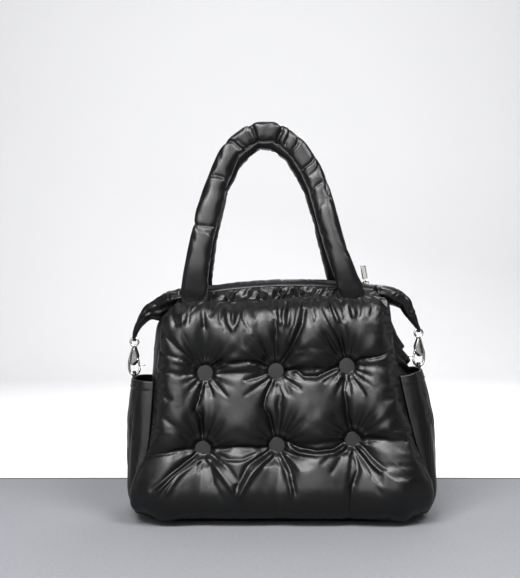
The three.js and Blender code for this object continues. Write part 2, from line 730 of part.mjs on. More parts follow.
function hookEye() {
  const ring = new THREE.TorusGeometry(EYE.radius, EYE.wire, WIRE_SIDES, EYE.facets);
  ring.rotateX(Math.PI / 2).translate(0, 0, EYE.up);
  const stem = uprightBar(STEM.radius, STEM.foot, EYE.up - EYE.radius);
  const collar = uprightBar(COLLAR.radius, COLLAR.foot, COLLAR.top);
  return join(ring, stem, collar);
}

function hookBody() {
  const block = sweep(resample(HOOK_BODY, HOOK_BODY.length), BAR_SIDES, { first: "z", last: "z" });
  const wire = resample(CLAW, CLAW_STEPS).map((s) => ({ ...s, half: s.wire, depth: s.wire }));
  const socket = uprightBar(SOCKET.radius, SOCKET.foot, COLLAR.foot);
  const slot = new THREE.BoxGeometry(GATE_SLOT.width, GATE_SLOT.thick, GATE_SLOT.height);
  slot.translate(GATE_SLOT.x, 0, GATE_SLOT.z);
  const pin = crossBar(GATE_PIVOT.pin, GATE_SLOT.thick + 2 * GATE_PIVOT.pin, GATE_PIVOT);
  return join(cut(join(block, sweep(wire, WIRE_SIDES)), socket, slot), pin);
}

function hookGate() {
  const stations = resample(GATE, GATE.length).map((s) => ({ ...s, depth: GATE_HALF_THICK }));
  const bar = sweep(stations, WIRE_SIDES);
  const ends = [
    { x: THUMB_TAB.x0, z: THUMB_TAB.z0 },
    { x: THUMB_TAB.x1, z: THUMB_TAB.z1 },
  ];
  const tab = sweep(ends.map((s) => ({ ...s, half: THUMB_TAB.half, depth: THUMB_TAB.half })), WIRE_SIDES);
  const hole = crossBar(GATE_PIVOT.hole, 4 * GATE_HALF_THICK, GATE_PIVOT);
  return cut(join(bar, tab), hole);
}

// Strap bent into an arch across the pocket rim, with its feet on the rim
function hookLoop() {
  const arch = (half, rise) => Array.from({ length: LOOP.steps + 1 }, (_, i) => {
    const turn = (Math.PI * i) / LOOP.steps;
    const height = lerp(SEAT_GAP, rise, Math.sin(turn) ** LOOP.roundness);
    return new THREE.Vector2(-half * Math.cos(turn), height);
  });
  const outline = new THREE.Shape([
    ...arch(LOOP.half + LOOP.thick / 2, LOOP.rise + LOOP.thick / 2),
    ...arch(LOOP.half - LOOP.thick / 2, LOOP.rise - LOOP.thick / 2).reverse(),
  ]);
  const strap = new THREE.ExtrudeGeometry(outline, { depth: LOOP.width, bevelEnabled: false });
  return strap.translate(0, 0, -LOOP.width / 2).rotateX(Math.PI / 2).rotateZ(Math.PI / 2);
}

function handle(which, sign) {
  const stations = resample(HANDLES[which], HANDLE_STEPS).map(({ x, z, half }) => {
    const { low, high } = HANDLE_LEAN;
    const y = sign * lerp(HANDLE_LEAN.foot, HANDLE_LEAN.top, smoothstep(z, low, high));
    const filled = smoothstep(z, low, low + HANDLE_DEPTH.rise);
    const depth = lerp(HANDLE_DEPTH.foot, HANDLE_DEPTH.full, filled);
    return { x, y, z: z + HANDLE_FOOT_GAP, half, depth };
  });
  return sweep(stations, HANDLE_SIDES, { first: "z", last: "z" });
}

// The bag
addPiece("base_panel", basePanel(), "nylon");
addPiece("front_panel", panel(FRONT_GRID, -1, tuftedPuff), "nylon");
addPiece("back_panel", panel(BACK_GRID, 1, plainPuff), "nylon");
BUTTONS.forEach((place) => addPiece(`button_${place.row}_${place.column}`, button(place), "nylon"));

addPiece("front_facing", facing(FACING_GRID.front, -1), "nylon");
addPiece("back_facing", facing(FACING_GRID.back, 1), "nylon");
addPiece("front_zip_band", ridgeStrip(BAND_SECTION, BAND_STEPS, -1), "nylon");
addPiece("back_zip_band", ridgeStrip(BAND_SECTION, BAND_STEPS), "nylon");
addPiece("zip_tape", ridgeStrip(flatSection(TAPE), ZIP_STEPS), "tape");
addPiece("zip_chain", ridgeStrip(flatSection(CHAIN), ZIP_STEPS), "coil");

const sliderPlace = new THREE.Group();
sliderPlace.position.set(SLIDER_X, 0, ridgeAt(SLIDER_X));
sliderPlace.rotation.y = Math.atan(2 * RIDGE.fall * (SLIDER_X - RIDGE.x));
bag.add(sliderPlace);
addPiece("zip_slider", slider(), "metal", sliderPlace);
addPiece("zip_pull", zipPull(), "metal", sliderPlace).position.z = PULL_LINK.pivot;

SIDES.forEach((row) => {
  addPiece(`${row.side}_gusset`, gusset(row), "nylon");
  addPiece(`${row.side}_pocket`, pocketWall(row), "nylon");
  addPiece(`${row.side}_ear`, ear(row.side), "nylon");
  const rim = new THREE.Group();
  rim.position.set(row.hookX, 0, row.rimMid);
  bag.add(rim);
  addPiece(`${row.side}_hook_loop`, hookLoop(), "nylon", rim);
  const hook = new THREE.Group();
  hook.position.z = CLAW_ABOVE_RIM;
  hook.rotation.z = row.sign < 0 ? 0 : Math.PI;
  rim.add(hook);
  addPiece(`${row.side}_hook_eye`, hookEye(), "metal", hook);
  addPiece(`${row.side}_hook_body`, hookBody(), "metal", hook);
  addPiece(`${row.side}_hook_gate`, hookGate(), "metal", hook);
});

addPiece("front_handle", handle("front", -1), "nylon");
addPiece("back_handle", handle("back", 1), "nylon");

export default bag;
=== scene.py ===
"""Padded tote bag, dressed: tufted nylon panels, ruffled facings, padded handles, snap hooks and a zip.

Tables are in millimetres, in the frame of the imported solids; the meshes are in metres.
The bag stands on z = 0, its front faces -Y, and +X is on the right as seen from the front.
"""

import logging
import math
from collections.abc import Callable, Iterable, Sequence
from dataclasses import dataclass
from enum import Enum

import bmesh
import bpy
import numpy as np
from mathutils import Matrix, Vector


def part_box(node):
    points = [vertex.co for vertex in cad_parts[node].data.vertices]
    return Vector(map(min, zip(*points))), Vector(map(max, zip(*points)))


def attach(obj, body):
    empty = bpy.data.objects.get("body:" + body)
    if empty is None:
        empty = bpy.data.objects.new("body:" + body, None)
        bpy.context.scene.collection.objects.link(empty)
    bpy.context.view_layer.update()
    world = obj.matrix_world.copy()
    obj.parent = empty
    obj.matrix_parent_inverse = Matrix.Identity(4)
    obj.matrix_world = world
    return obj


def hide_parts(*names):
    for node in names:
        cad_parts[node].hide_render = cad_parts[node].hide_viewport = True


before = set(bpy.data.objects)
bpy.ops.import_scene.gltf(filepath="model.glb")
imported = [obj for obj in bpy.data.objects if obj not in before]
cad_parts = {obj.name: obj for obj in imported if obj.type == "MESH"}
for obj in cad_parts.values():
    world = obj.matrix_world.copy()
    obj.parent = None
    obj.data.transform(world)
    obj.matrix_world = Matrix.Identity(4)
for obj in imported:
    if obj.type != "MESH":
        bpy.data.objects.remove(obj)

LOG = logging.getLogger("bag")
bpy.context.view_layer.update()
MM = 0.001

Array = np.ndarray
Piece = bpy.types.Object
Socket = bpy.types.NodeSocket


class Side(Enum):
    """The two ends of the bag, with the sign of X there."""

    LEFT = -1
    RIGHT = 1

    @property
    def word(self) -> str:
        """The side's name in node names."""
        return self.name.lower()


class Face(Enum):
    """The two broad faces of the bag, with the sign of Y there."""

    FRONT = -1
    BACK = 1

    @property
    def word(self) -> str:
        """The face's name in node names."""
        return self.name.lower()


class Hold(Enum):
    """How a sheet of cloth is held."""

    HUNG = "hung"
    GATHERED = "gathered"
    STRETCHED = "stretched"


@dataclass(frozen=True)
class Table:
    """Rows of numbers that are read smoothly along their first column."""

    columns: tuple[str, ...]
    rows: tuple[tuple[float, ...], ...]

    def read(self, column: str, place: Array | float) -> Array:
        """Reads one column at places along the first column.

        Args:
            column: Name of the column.
            place: Places along the first column; they are held inside the table.

        Returns:
            The smooth values, with a Hermite curve between rows.
        """
        rows = np.array(self.rows, float)
        key, value = rows[:, 0], rows[:, self.columns.index(column)]
        place = np.clip(np.asarray(place, float), key[0], key[-1])
        b = np.clip(np.searchsorted(key, place, side="right"), 1, len(key) - 1)
        a = b - 1
        before, after = np.maximum(a - 1, 0), np.minimum(b + 1, len(key) - 1)
        span = key[b] - key[a]
        t = (place - key[a]) / span
        leaving = (value[b] - value[before]) / (key[b] - key[before]) * span
        arriving = (value[after] - value[a]) / (key[after] - key[a]) * span
        bend = value[a] - value[b]
        cubic = 2 * bend + leaving + arriving
        square = -3 * bend - 2 * leaving - arriving
        return ((cubic * t + square) * t + leaving) * t + value[a]

    def along(self, places: Array) -> dict[str, Array]:
        """Reads every column at fractional row numbers.

        Args:
            places: Row numbers, from 0 to the last row.

        Returns:
            The values of each column by name.
        """
        last = len(self.rows) - 1
        numbered = tuple((float(i), *row) for i, row in enumerate(self.rows))
        table = Table(("row", *self.columns), numbered)
        return {name: table.read(name, np.clip(places, 0, last)) for name in self.columns}


@dataclass(frozen=True)
class Fold:
    """A crease along a path on an unrolled surface: a valley, or a ridge where its depth is negative."""

    depth: float
    width: float
    path: tuple[tuple[float, float], ...]

    def distance(self, across: Array, along: Array, period: float = 0.0) -> Array:
        """Measures how far points of the surface are from the crease.

        Args:
            across: First coordinates of the points.
            along: Second coordinates of the points.
            period: Distance after which the first coordinate repeats, or 0.

        Returns:
            The distances.
        """
        shifts = (0.0,) if period == 0 else (-period, 0.0, period)
        nearest = np.full(np.shape(across), np.inf)
        for (x0, z0), (x1, z1) in zip(self.path, self.path[1:]):
            dx, dz = x1 - x0, z1 - z0
            for shift in shifts:
                x = across + shift
                t = np.clip(((x - x0) * dx + (along - z0) * dz) / (dx * dx + dz * dz), 0, 1)
                nearest = np.minimum(nearest, np.hypot(x - x0 - dx * t, along - z0 - dz * t))
        return nearest


def folds(*rows: tuple[float, float, Sequence[tuple[float, float]]], share: float = 1.0,
          spread: float = 1.0) -> tuple[Fold, ...]:
    """Makes creases from rows of depth, width and path.

    Args:
        rows: Depth, width and path of each crease.
        share: Share of the depths that is pressed in.
        spread: Share of the widths.

    Returns:
        The creases.
    """
    return tuple(Fold(share * depth, spread * width, tuple(path)) for depth, width, path in rows)


@dataclass
class Creases:
    """What a set of creases does to a surface."""

    rise: Array
    line: Array

    @classmethod
    def of(cls, creases: Iterable[Fold], across: Array, along: Array, period: float = 0.0,
           deep: float = 4.0) -> "Creases":
        """Presses creases into a surface.

        Args:
            creases: The creases.
            across: First coordinates of the surface's points.
            along: Second coordinates of the surface's points.
            period: Distance after which the first coordinate repeats, or 0.
            deep: Least depth of a crease that counts as a held line.

        Returns:
            The rise of the surface and the distance to the nearest deep valley.
        """
        valley = np.zeros(np.shape(across))
        ridge = np.zeros(np.shape(across))
        line = np.full(np.shape(across), np.inf)
        for crease in creases:
            away = crease.distance(across, along, period)
            if crease.depth > 0:
                valley = np.maximum(valley, crease.depth * np.exp(-away / crease.width))
                if crease.depth >= deep:
                    line = np.minimum(line, away)
            else:
                ridge = np.maximum(ridge, -crease.depth * np.exp(-((away / crease.width) ** 2)))
        return cls(ridge - valley, line)


def lerp(a: Array | float, b: Array | float, t: Array | float) -> Array:
    """Blends from a to b."""
    return a + (b - a) * t


def smoothstep(value: Array, low: float, high: float) -> Array:
    """Rises smoothly from 0 at low to 1 at high."""
    t = np.clip((value - low) / (high - low), 0, 1)
    return t * t * (3 - 2 * t)


def ripple(place: Array, pitch: float, drift: Array | float = 0.0) -> Array:
    """An uneven wave along a seam, from -1 to 1.

    Args:
        place: Places along the seam.
        pitch: Mean length of a wave.
        drift: Shift of the wave's phase.

    Returns:
        The wave's height at each place.
    """
    turn = 2 * math.pi * place / pitch
    wander = 1.7 * np.sin(turn / 3.7 + 0.6) + 1.1 * np.sin(turn / 6.1 + 2.0)
    swell = 0.68 + 0.32 * np.sin(turn / 2.6 + 1.3)
    return swell * np.sin(turn + wander + drift)


def soften(values: Array, reach: int) -> Array:
    """Rounds the corners of a sampled line.

    Args:
        values: The samples.
        reach: Samples on each side that each one is averaged with.

    Returns:
        As many samples, with the ends kept.
    """
    weights = np.hanning(2 * reach + 3)[1:-1]
    padded = np.pad(values, reach, mode="reflect", reflect_type="odd")
    return np.convolve(padded, weights / weights.sum(), mode="valid")


def unit(vectors: Array) -> Array:
    """Vectors with a length of 1."""
    return vectors / np.maximum(np.linalg.norm(vectors, axis=-1, keepdims=True), 1e-12)


class BagShape:
    """Measures of the bag that its pieces share."""

    seam = Table(("z", "left", "right", "depth"), (
        (8.4, -161, 158, 57.5), (16, -166, 166, 59), (30, -169, 171, 60.5), (48, -166.5, 170, 60.5),
        (62, -163, 165.5, 60), (78, -157, 160, 59), (95, -154, 154.5, 58), (135, -151, 145, 54.5),
        (166, -149, 138.5, 51.5), (185, -147, 134.5, 50), (210, -144, 131.5, 47.5),
        (240, -140, 129, 45), (257, -126, 127, 44),
    ))
    top_seam = Table(("x", "z"), (
        (-126, 256), (-99, 260.5), (-80, 258.5), (-46, 258.5), (-7, 260.5), (25, 264), (60, 265),
        (100, 266), (120, 263), (127, 258),
    ))
    bottom, top = 8.4, 257.0
    ridge_x, ridge_z, ridge_fall = 20.0, 285.0, 7e-4
    lining_bottom, lining_top = 52.0, 38.0
    base_thick = 8.0
    seat_gap = 0.35

    @classmethod
    def ridge(cls, x: Array | float) -> Array:
        """Height of the zip bands' ridge at a place across the bag."""
        return cls.ridge_z - cls.ridge_fall * (np.asarray(x, float) - cls.ridge_x) ** 2

    @classmethod
    def lining(cls, z: Array) -> Array:
        """Distance of the panels' lining from the middle plane."""
        return lerp(cls.lining_bottom, cls.lining_top, z / cls.top)

    @classmethod
    def edge(cls, side: Side, z: Array) -> Array:
        """Distance of a side seam from the middle plane, at a height."""
        return np.abs(cls.seam.read(side.word, z))


def make_piece(name: str, points: Array, faces: Sequence[Sequence[int]]) -> Piece:
    """Makes a smooth mesh piece.

    Args:
        name: Name of the piece.
        points: Points in millimetres, in any grid shape.
        faces: Point numbers of each face.

    Returns:
        The new piece, linked to the scene.
    """
    mesh = bpy.data.meshes.new(name)
    mesh.from_pydata((np.reshape(points, (-1, 3)) * MM).tolist(), [], faces)
    mesh.update()
    mesh.polygons.foreach_set("use_smooth", np.ones(len(mesh.polygons), bool))
    piece = bpy.data.objects.new(name, mesh)
    bpy.context.scene.collection.objects.link(piece)
    return piece


def grid_faces(rows: int, columns: int, wrapped: bool = False, start: int = 0) -> list[list[int]]:
    """Four-sided faces over a grid of points.

    Args:
        rows: Number of rows of points.
        columns: Number of points in a row.
        wrapped: Whether each row closes on itself.
        start: Number of the first point.

    Returns:
        The faces.
    """
    numbers = start + np.arange(rows * columns).reshape(rows, columns)
    if wrapped:
        numbers = np.concatenate([numbers, numbers[:, :1]], axis=1)
    corners = [numbers[:-1, :-1], numbers[:-1, 1:], numbers[1:, 1:], numbers[1:, :-1]]
    return np.stack(corners, -1).reshape(-1, 4).tolist()


def grid_border(rows: int, columns: int) -> list[int]:
    """Numbers of the points round the border of a grid.

    Args:
        rows: Number of rows of points.
        columns: Number of points in a row.

    Returns:
        The numbers, in order round the border.
    """
    numbers = np.arange(rows * columns).reshape(rows, columns)
    runs = [numbers[0, :-1], numbers[:-1, -1], numbers[-1, :0:-1], numbers[:0:-1, 0]]
    return np.concatenate(runs).tolist()


def face_outwards(piece: Piece) -> None:
    """Turns the faces of a closed piece outwards.

    Args:
        piece: The piece.
    """
    mesh = bmesh.new()
    mesh.from_mesh(piece.data)
    bmesh.ops.recalc_face_normals(mesh, faces=mesh.faces)
    mesh.to_mesh(piece.data)
    mesh.free()
    piece.data.update()


def make_wall(name: str, outer: Array, inner: Array) -> Piece:
    """Makes a closed wall of cloth between two grids of points.

    Args:
        name: Name of the piece.
        outer: Outer points, rows by columns by 3, in millimetres.
        inner: Inner points of the same shape.

    Returns:
        The wall, closed round its border.
    """
    rows, columns = outer.shape[:2]
    layer = rows * columns
    border = grid_border(rows, columns)
    hem = [[p, q, layer + q, layer + p] for p, q in zip(border, border[1:] + border[:1])]
    faces = grid_faces(rows, columns) + grid_faces(rows, columns, start=layer) + hem
    piece = make_piece(name, np.concatenate([outer.reshape(-1, 3), inner.reshape(-1, 3)]), faces)
    face_outwards(piece)
    return piece


def make_tube(name: str, rings: Array) -> Piece:
    """Makes a closed tube through rings of points.

    Args:
        name: Name of the piece.
        rings: Rings by points by 3, in millimetres.

    Returns:
        The tube, with flat ends.
    """
    count, sides = rings.shape[:2]
    ends = [list(range(sides)), list(range((count - 1) * sides, count * sides))]
    piece = make_piece(name, rings, grid_faces(count, sides, wrapped=True) + ends)
    face_outwards(piece)
    return piece


def surface_normals(points: Array) -> Array:
    """Unit normals of a grid of points, along the cross product of its rows and columns."""
    return unit(np.cross(np.gradient(points, axis=1), np.gradient(points, axis=0)))


def read_points(piece: Piece) -> Array:
    """Reads the points of a piece.

    Args:
        piece: The piece.

    Returns:
        The points in millimetres.
    """
    points = np.zeros(len(piece.data.vertices) * 3, np.float32)
    piece.data.vertices.foreach_get("co", points)
    return points.reshape(-1, 3).astype(float) / MM


def write_points(piece: Piece, points: Array) -> None:
    """Sets the points of a piece, in millimetres."""
    piece.data.vertices.foreach_set("co", (points.reshape(-1, 3) * MM).astype(np.float32).ravel())
    piece.data.update()


def make_active(piece: Piece) -> None:
    """Selects one piece alone.

    Args:
        piece: The piece.
    """
    bpy.ops.object.select_all(action="DESELECT")
    piece.select_set(True)
    bpy.context.view_layer.objects.active = piece


def apply_modifier(piece: Piece, kind: str, **settings: object) -> None:
    """Adds a modifier to a piece and applies it.

    Args:
        piece: The piece.
        kind: Blender's name of the modifier's type.
        settings: Values of the modifier's settings.
    """
    make_active(piece)
    modifier = piece.modifiers.new(kind.title(), kind)
    for name, value in settings.items():
        setattr(modifier, name, value)
    bpy.ops.object.modifier_apply(modifier=modifier.name)


def subdivide(piece: Piece, levels: int = 1) -> None:
    """Smooths a piece by subdivision."""
    apply_modifier(piece, "SUBSURF", levels=levels, render_levels=levels)


@dataclass(frozen=True)
class Settling:
    """Lets a cover go until it lies as cloth over its filling does."""

    frames: int = 20
    pressure: float = 3.0
    bending: float = 0.15
    stiffness: float = 20.0
    reach: float = 6.0
    scale: float = 10.0

    def relax(self, piece: Piece, held: Array, slack: Array) -> None:
        """Simulates the piece as cloth and keeps the result in its mesh.

        Args:
            piece: The cover, with its faces turned outwards.
            held: How firmly each point is held, from 0 to 1.
            slack: Share by which the cloth is longer than the shape, at each point.
        """
        start = read_points(piece)
        write_points(piece, start * self.scale)
        self._weigh(piece, "held", held)
        most = float(slack.max())
        self._weigh(piece, "taut", 1 - slack / max(most, 1e-6))
        modifier = piece.modifiers.new("Settle", "CLOTH")
        cloth = modifier.settings
        cloth.quality = 6
        cloth.mass = 0.15
        cloth.tension_stiffness = cloth.compression_stiffness = self.stiffness
        cloth.shear_stiffness = 0.3 * self.stiffness
        cloth.bending_stiffness = self.bending
        cloth.tension_damping = cloth.compression_damping = cloth.shear_damping = 5
        cloth.bending_damping = 0.5
        cloth.vertex_group_mass = "held"
        cloth.vertex_group_shrink = "taut"
        cloth.shrink_min = -most
        cloth.shrink_max = 0.0
        cloth.use_pressure = True
        cloth.uniform_pressure_force = self.pressure
        cloth.effector_weights.gravity = 0
        modifier.collision_settings.use_collision = False
        modifier.point_cache.frame_start = 1
        modifier.point_cache.frame_end = self.frames + 1
        scene = bpy.context.scene
        for step in range(1, self.frames + 1):
            scene.frame_set(step)
        settled = piece.evaluated_get(bpy.context.evaluated_depsgraph_get())
        points = np.zeros(len(settled.data.vertices) * 3, np.float32)
        settled.data.vertices.foreach_get("co", points)
        move = points.reshape(-1, 3) / (MM * self.scale) - start
        far = np.linalg.norm(move, axis=1, keepdims=True)
        piece.modifiers.clear()
        piece.vertex_groups.clear()
        scene.frame_set(1)
        write_points(piece, start + move * np.minimum(1, self.reach / np.maximum(far, 1e-9)))
        LOG.info("%s settled by up to %.1f mm, %.1f mm in the mean", piece.name, far.max(), far.mean())

    @staticmethod
    def _weigh(piece: Piece, name: str, weights: Array) -> None:
        """Keeps a weight for each point in a vertex group.

        Args:
            piece: The piece.
            name: Name of the group.
            weights: Weights of the points, from 0 to 1.
        """
        group = piece.vertex_groups.new(name=name)
        steps = np.round(np.ravel(weights) * 50) / 50
        for weight in np.unique(steps[steps > 0]):
            group.add(np.nonzero(steps == weight)[0].tolist(), float(weight), "REPLACE")


class Lay(Enum):
    """Ways that threads lie, with Blender's names for the bands."""

    LEVEL = "Z"
    UPRIGHT = "X"
    BIAS = "DIAGONAL"


# Length of a band at scale 1, in metres
WAVE_LENGTH = 0.314


class NodeGraph:
    """A material under construction."""

    def __init__(self, name: str) -> None:
        """Starts a material with a plain shader.

        Args:
            name: Name of the material.
        """
        self.material = bpy.data.materials.new(name)
        self.material.use_nodes = True
        self.tree = self.material.node_tree
        self.shader = self.tree.nodes["Principled BSDF"]
        self.place = self.add("ShaderNodeTexCoord").outputs["Object"]

    def add(self, kind: str, settings: dict[str, object] | None = None, **inputs: object) -> bpy.types.Node:
        """Adds a node.

        Args:
            kind: Blender's name of the node's type.
            settings: Values of the node's own properties.
            inputs: Values or links of its inputs, with spaces in their names written as _.

        Returns:
            The node.
        """
        node = self.tree.nodes.new(kind)
        for name, value in (settings or {}).items():
            setattr(node, name, value)
        for name, value in inputs.items():
            socket = node.inputs[name.replace("_", " ")]
            if isinstance(value, Socket):
                self.tree.links.new(value, socket)
            else:
                socket.default_value = value
        return node

    def noise(self, scale: float, detail: float, stretch: Sequence[float] = (1, 1, 1)) -> Socket:
        """Cloudy values from 0 to 1 over the piece.

        Args:
            scale: Number of clouds to a metre.
            detail: Layers of finer clouds.
            stretch: Scale along each axis.

        Returns:
            The values.
        """
        mapped = self.add("ShaderNodeMapping", Vector=self.place, Scale=tuple(stretch))
        node = self.add("ShaderNodeTexNoise", Vector=mapped.outputs[0], Scale=scale, Detail=detail)
        return node.outputs["Fac"]

    def threads(self, pitch: float, way: Lay) -> Socket:
        """Rows of threads over the piece.

        Args:
            pitch: Distance between threads in metres.
            way: Which way they lie.

        Returns:
            The height of the threads, from 0 to 1.
        """
        settings = {"wave_type": "BANDS", "bands_direction": way.value}
        node = self.add("ShaderNodeTexWave", settings, Vector=self.place, Scale=WAVE_LENGTH / pitch)
        return node.outputs["Fac"]

    def spread(self, value: Socket, low: float, high: float) -> Socket:
        """Stretches values from 0 to 1 over a range."""
        return self.add("ShaderNodeMapRange", None, Value=value, To_Min=low, To_Max=high).outputs[0]

    def tint(self, value: Socket, dark: Sequence[float], pale: Sequence[float]) -> None:
        """Colours the surface between two colours.

        Args:
            value: Share of the pale colour, from 0 to 1.
            dark: The dark colour.
            pale: The pale colour.
        """
        mix = self.tree.nodes.new("ShaderNodeMix")
        mix.data_type = "RGBA"
        self.tree.links.new(value, mix.inputs["Factor"])
        mix.inputs[6].default_value = (*dark, 1)
        mix.inputs[7].default_value = (*pale, 1)
        self.tree.links.new(mix.outputs[2], self.shader.inputs["Base Color"])

    def emboss(self, *layers: tuple[Socket, float]) -> None:
        """Gives the surface its relief.

        Args:
            layers: Heights from 0 to 1, each with its full height in metres.
        """
        normal = None
        for height, distance in layers:
            bump = self.add("ShaderNodeBump", None, Height=height, Distance=distance)
            if normal is not None:
                self.tree.links.new(normal, bump.inputs["Normal"])
            normal = bump.outputs["Normal"]
        self.tree.links.new(normal, self.shader.inputs["Normal"])

    def gloss(self, value: Socket, low: float, high: float) -> None:
        """Varies the roughness of the surface between two values."""
        self.tree.links.new(self.spread(value, low, high), self.shader.inputs["Roughness"])


@dataclass(frozen=True)
class Finish:
    """A finish with the record's slot that it belongs to."""

    name: str
    slot: str

    def material(self) -> bpy.types.Material:
        """The finish as a material, made once."""
        return bpy.data.materials.get(self.name) or self.make()

    def make(self) -> bpy.types.Material:
        """Makes the material.

        Returns:
            The new material.
        """
        raise NotImplementedError


@dataclass(frozen=True)
class Nylon(Finish):
    """Downproof nylon: near black, with a soft gloss, a fine weave and small crumples."""

    dark: tuple[float, float, float] = (0.0025, 0.0025, 0.0027)
    pale: tuple[float, float, float] = (0.0045, 0.0045, 0.0046)
    smooth: float = 0.33
    rough: float = 0.43
    crumple: float = 0.00032
    ruck: float = 0.0007
    weave_pitch: float = 0.00045
    weave_height: float = 0.000004

    def make(self) -> bpy.types.Material:
        """Makes the material.

        Returns:
            The new material.
        """
        graph = NodeGraph(self.name)
        clouds = graph.noise(38, 4)
        graph.tint(clouds, self.dark, self.pale)
        graph.gloss(graph.noise(70, 5), self.smooth, self.rough)
        graph.emboss(
            (graph.noise(75, 4), self.crumple),
            (graph.noise(34, 2, (1, 1, 0.55)), self.ruck),
            (graph.threads(self.weave_pitch, Lay.BIAS), self.weave_height),
            (graph.threads(self.weave_pitch, Lay.LEVEL), self.weave_height),
        )
        return graph.material


@dataclass(frozen=True)
class WovenTape(Finish):
    """Matt tape with a herringbone of fine threads."""

    colour: tuple[float, float, float] = (0.0050, 0.0050, 0.0054)
    pitch: float = 0.0011

    def make(self) -> bpy.types.Material:
        """Makes the material.

        Returns:
            The new material.
        """
        graph = NodeGraph(self.name)
        threads = graph.threads(self.pitch, Lay.BIAS)
        graph.tint(threads, tuple(0.5 * c for c in self.colour), tuple(1.6 * c for c in self.colour))
        graph.gloss(graph.noise(300, 2), 0.6, 0.85)
        graph.emboss((threads, 0.00012), (graph.threads(self.pitch / 2, Lay.UPRIGHT), 0.00006))
        return graph.material


@dataclass(frozen=True)
class MouldedPlastic(Finish):
    """Glossy black plastic of a nylon coil."""

    colour: tuple[float, float, float] = (0.0060, 0.0060, 0.0064)

    def make(self) -> bpy.types.Material:
        """Makes the material.

        Returns:
            The new material.
        """
        graph = NodeGraph(self.name)
        graph.tint(graph.noise(400, 2), self.colour, tuple(1.5 * c for c in self.colour))
        graph.gloss(graph.noise(900, 3), 0.2, 0.34)
        graph.emboss((graph.noise(1500, 2), 0.00002))
        return graph.material


@dataclass(frozen=True)
class PolishedMetal(Finish):
    """Nickel plating, polished, with faint scuffs."""

    colour: tuple[float, float, float] = (0.52, 0.51, 0.49)

    def make(self) -> bpy.types.Material:
        """Makes the material.

        Returns:
            The new material.
        """
        graph = NodeGraph(self.name)
        graph.tint(graph.noise(220, 4), tuple(0.9 * c for c in self.colour), self.colour)
        graph.gloss(graph.noise(600, 6, (1, 1, 0.25)), 0.10, 0.24)
        graph.emboss((graph.noise(900, 4), 0.000012))
        graph.shader.inputs["Metallic"].default_value = 1
        return graph.material


@dataclass(frozen=True)
class Thread(Finish):
    """Sewing thread with a slight gloss."""

    colour: tuple[float, float, float] = (0.012, 0.0115, 0.011)

    def make(self) -> bpy.types.Material:
        """Makes the material.

        Returns:
            The new material.
        """
        graph = NodeGraph(self.name)
        graph.tint(graph.noise(500, 2), self.colour, tuple(2.2 * c for c in self.colour))
        graph.gloss(graph.noise(800, 2), 0.35, 0.55)
        graph.emboss((graph.threads(0.0004, Lay.BIAS), 0.00005))
        return graph.material


@dataclass(frozen=True)
class Ground(Finish):
    """Plain floor or backdrop of the studio."""

    colour: tuple[float, float, float] = (0.42, 0.43, 0.46)
    grain: float = 0.0

    def make(self) -> bpy.types.Material:
        """Makes the material.

        Returns:
            The new material.
        """
        graph = NodeGraph(self.name)
        grain = graph.noise(260, 4)
        graph.tint(grain, tuple((1 - self.grain) * c for c in self.colour), self.colour)
        graph.gloss(graph.noise(20, 2), 0.85, 0.95)
        return graph.material


SHELL = Nylon("black nylon", "nylon_shell")
# Button covers: the shell's nylon, rougher and about five times paler. The matt gloss is the cloth's own; the
# paler colour is painted light, standing in for lamp light on faces that look up.
COVER_PAINTED_PALE = Nylon(
    "button nylon painted pale", "button_cover", (0.014, 0.014, 0.0144), (0.020, 0.020, 0.0204), 0.5, 0.6, 0.00006, 0.00006
)
TAPE = WovenTape("zip tape", "zip_tape")
COIL = MouldedPlastic("zip coil", "zip_coil")
METAL = PolishedMetal("polished nickel", "polished_metal")
THREAD = Thread("sewing thread", "nylon_shell")


def dress(piece: Piece, finish: Finish, *nodes: str, body: str = "root") -> Piece:
    """Gives a piece its finish and its body, and hides the solids that it stands for.

    Args:
        piece: The finished mesh.
        finish: Its finish.
        nodes: Names of the solids that it stands for.
        body: The body that it moves with.

    Returns:
        The piece.
    """
    piece.data.materials.clear()
    piece.data.materials.append(finish.material())
    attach(piece, body)
    if nodes:
        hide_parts(*nodes)
    LOG.info("%s: %d faces, rides on %s", piece.name, len(piece.data.polygons), body)
    return piece


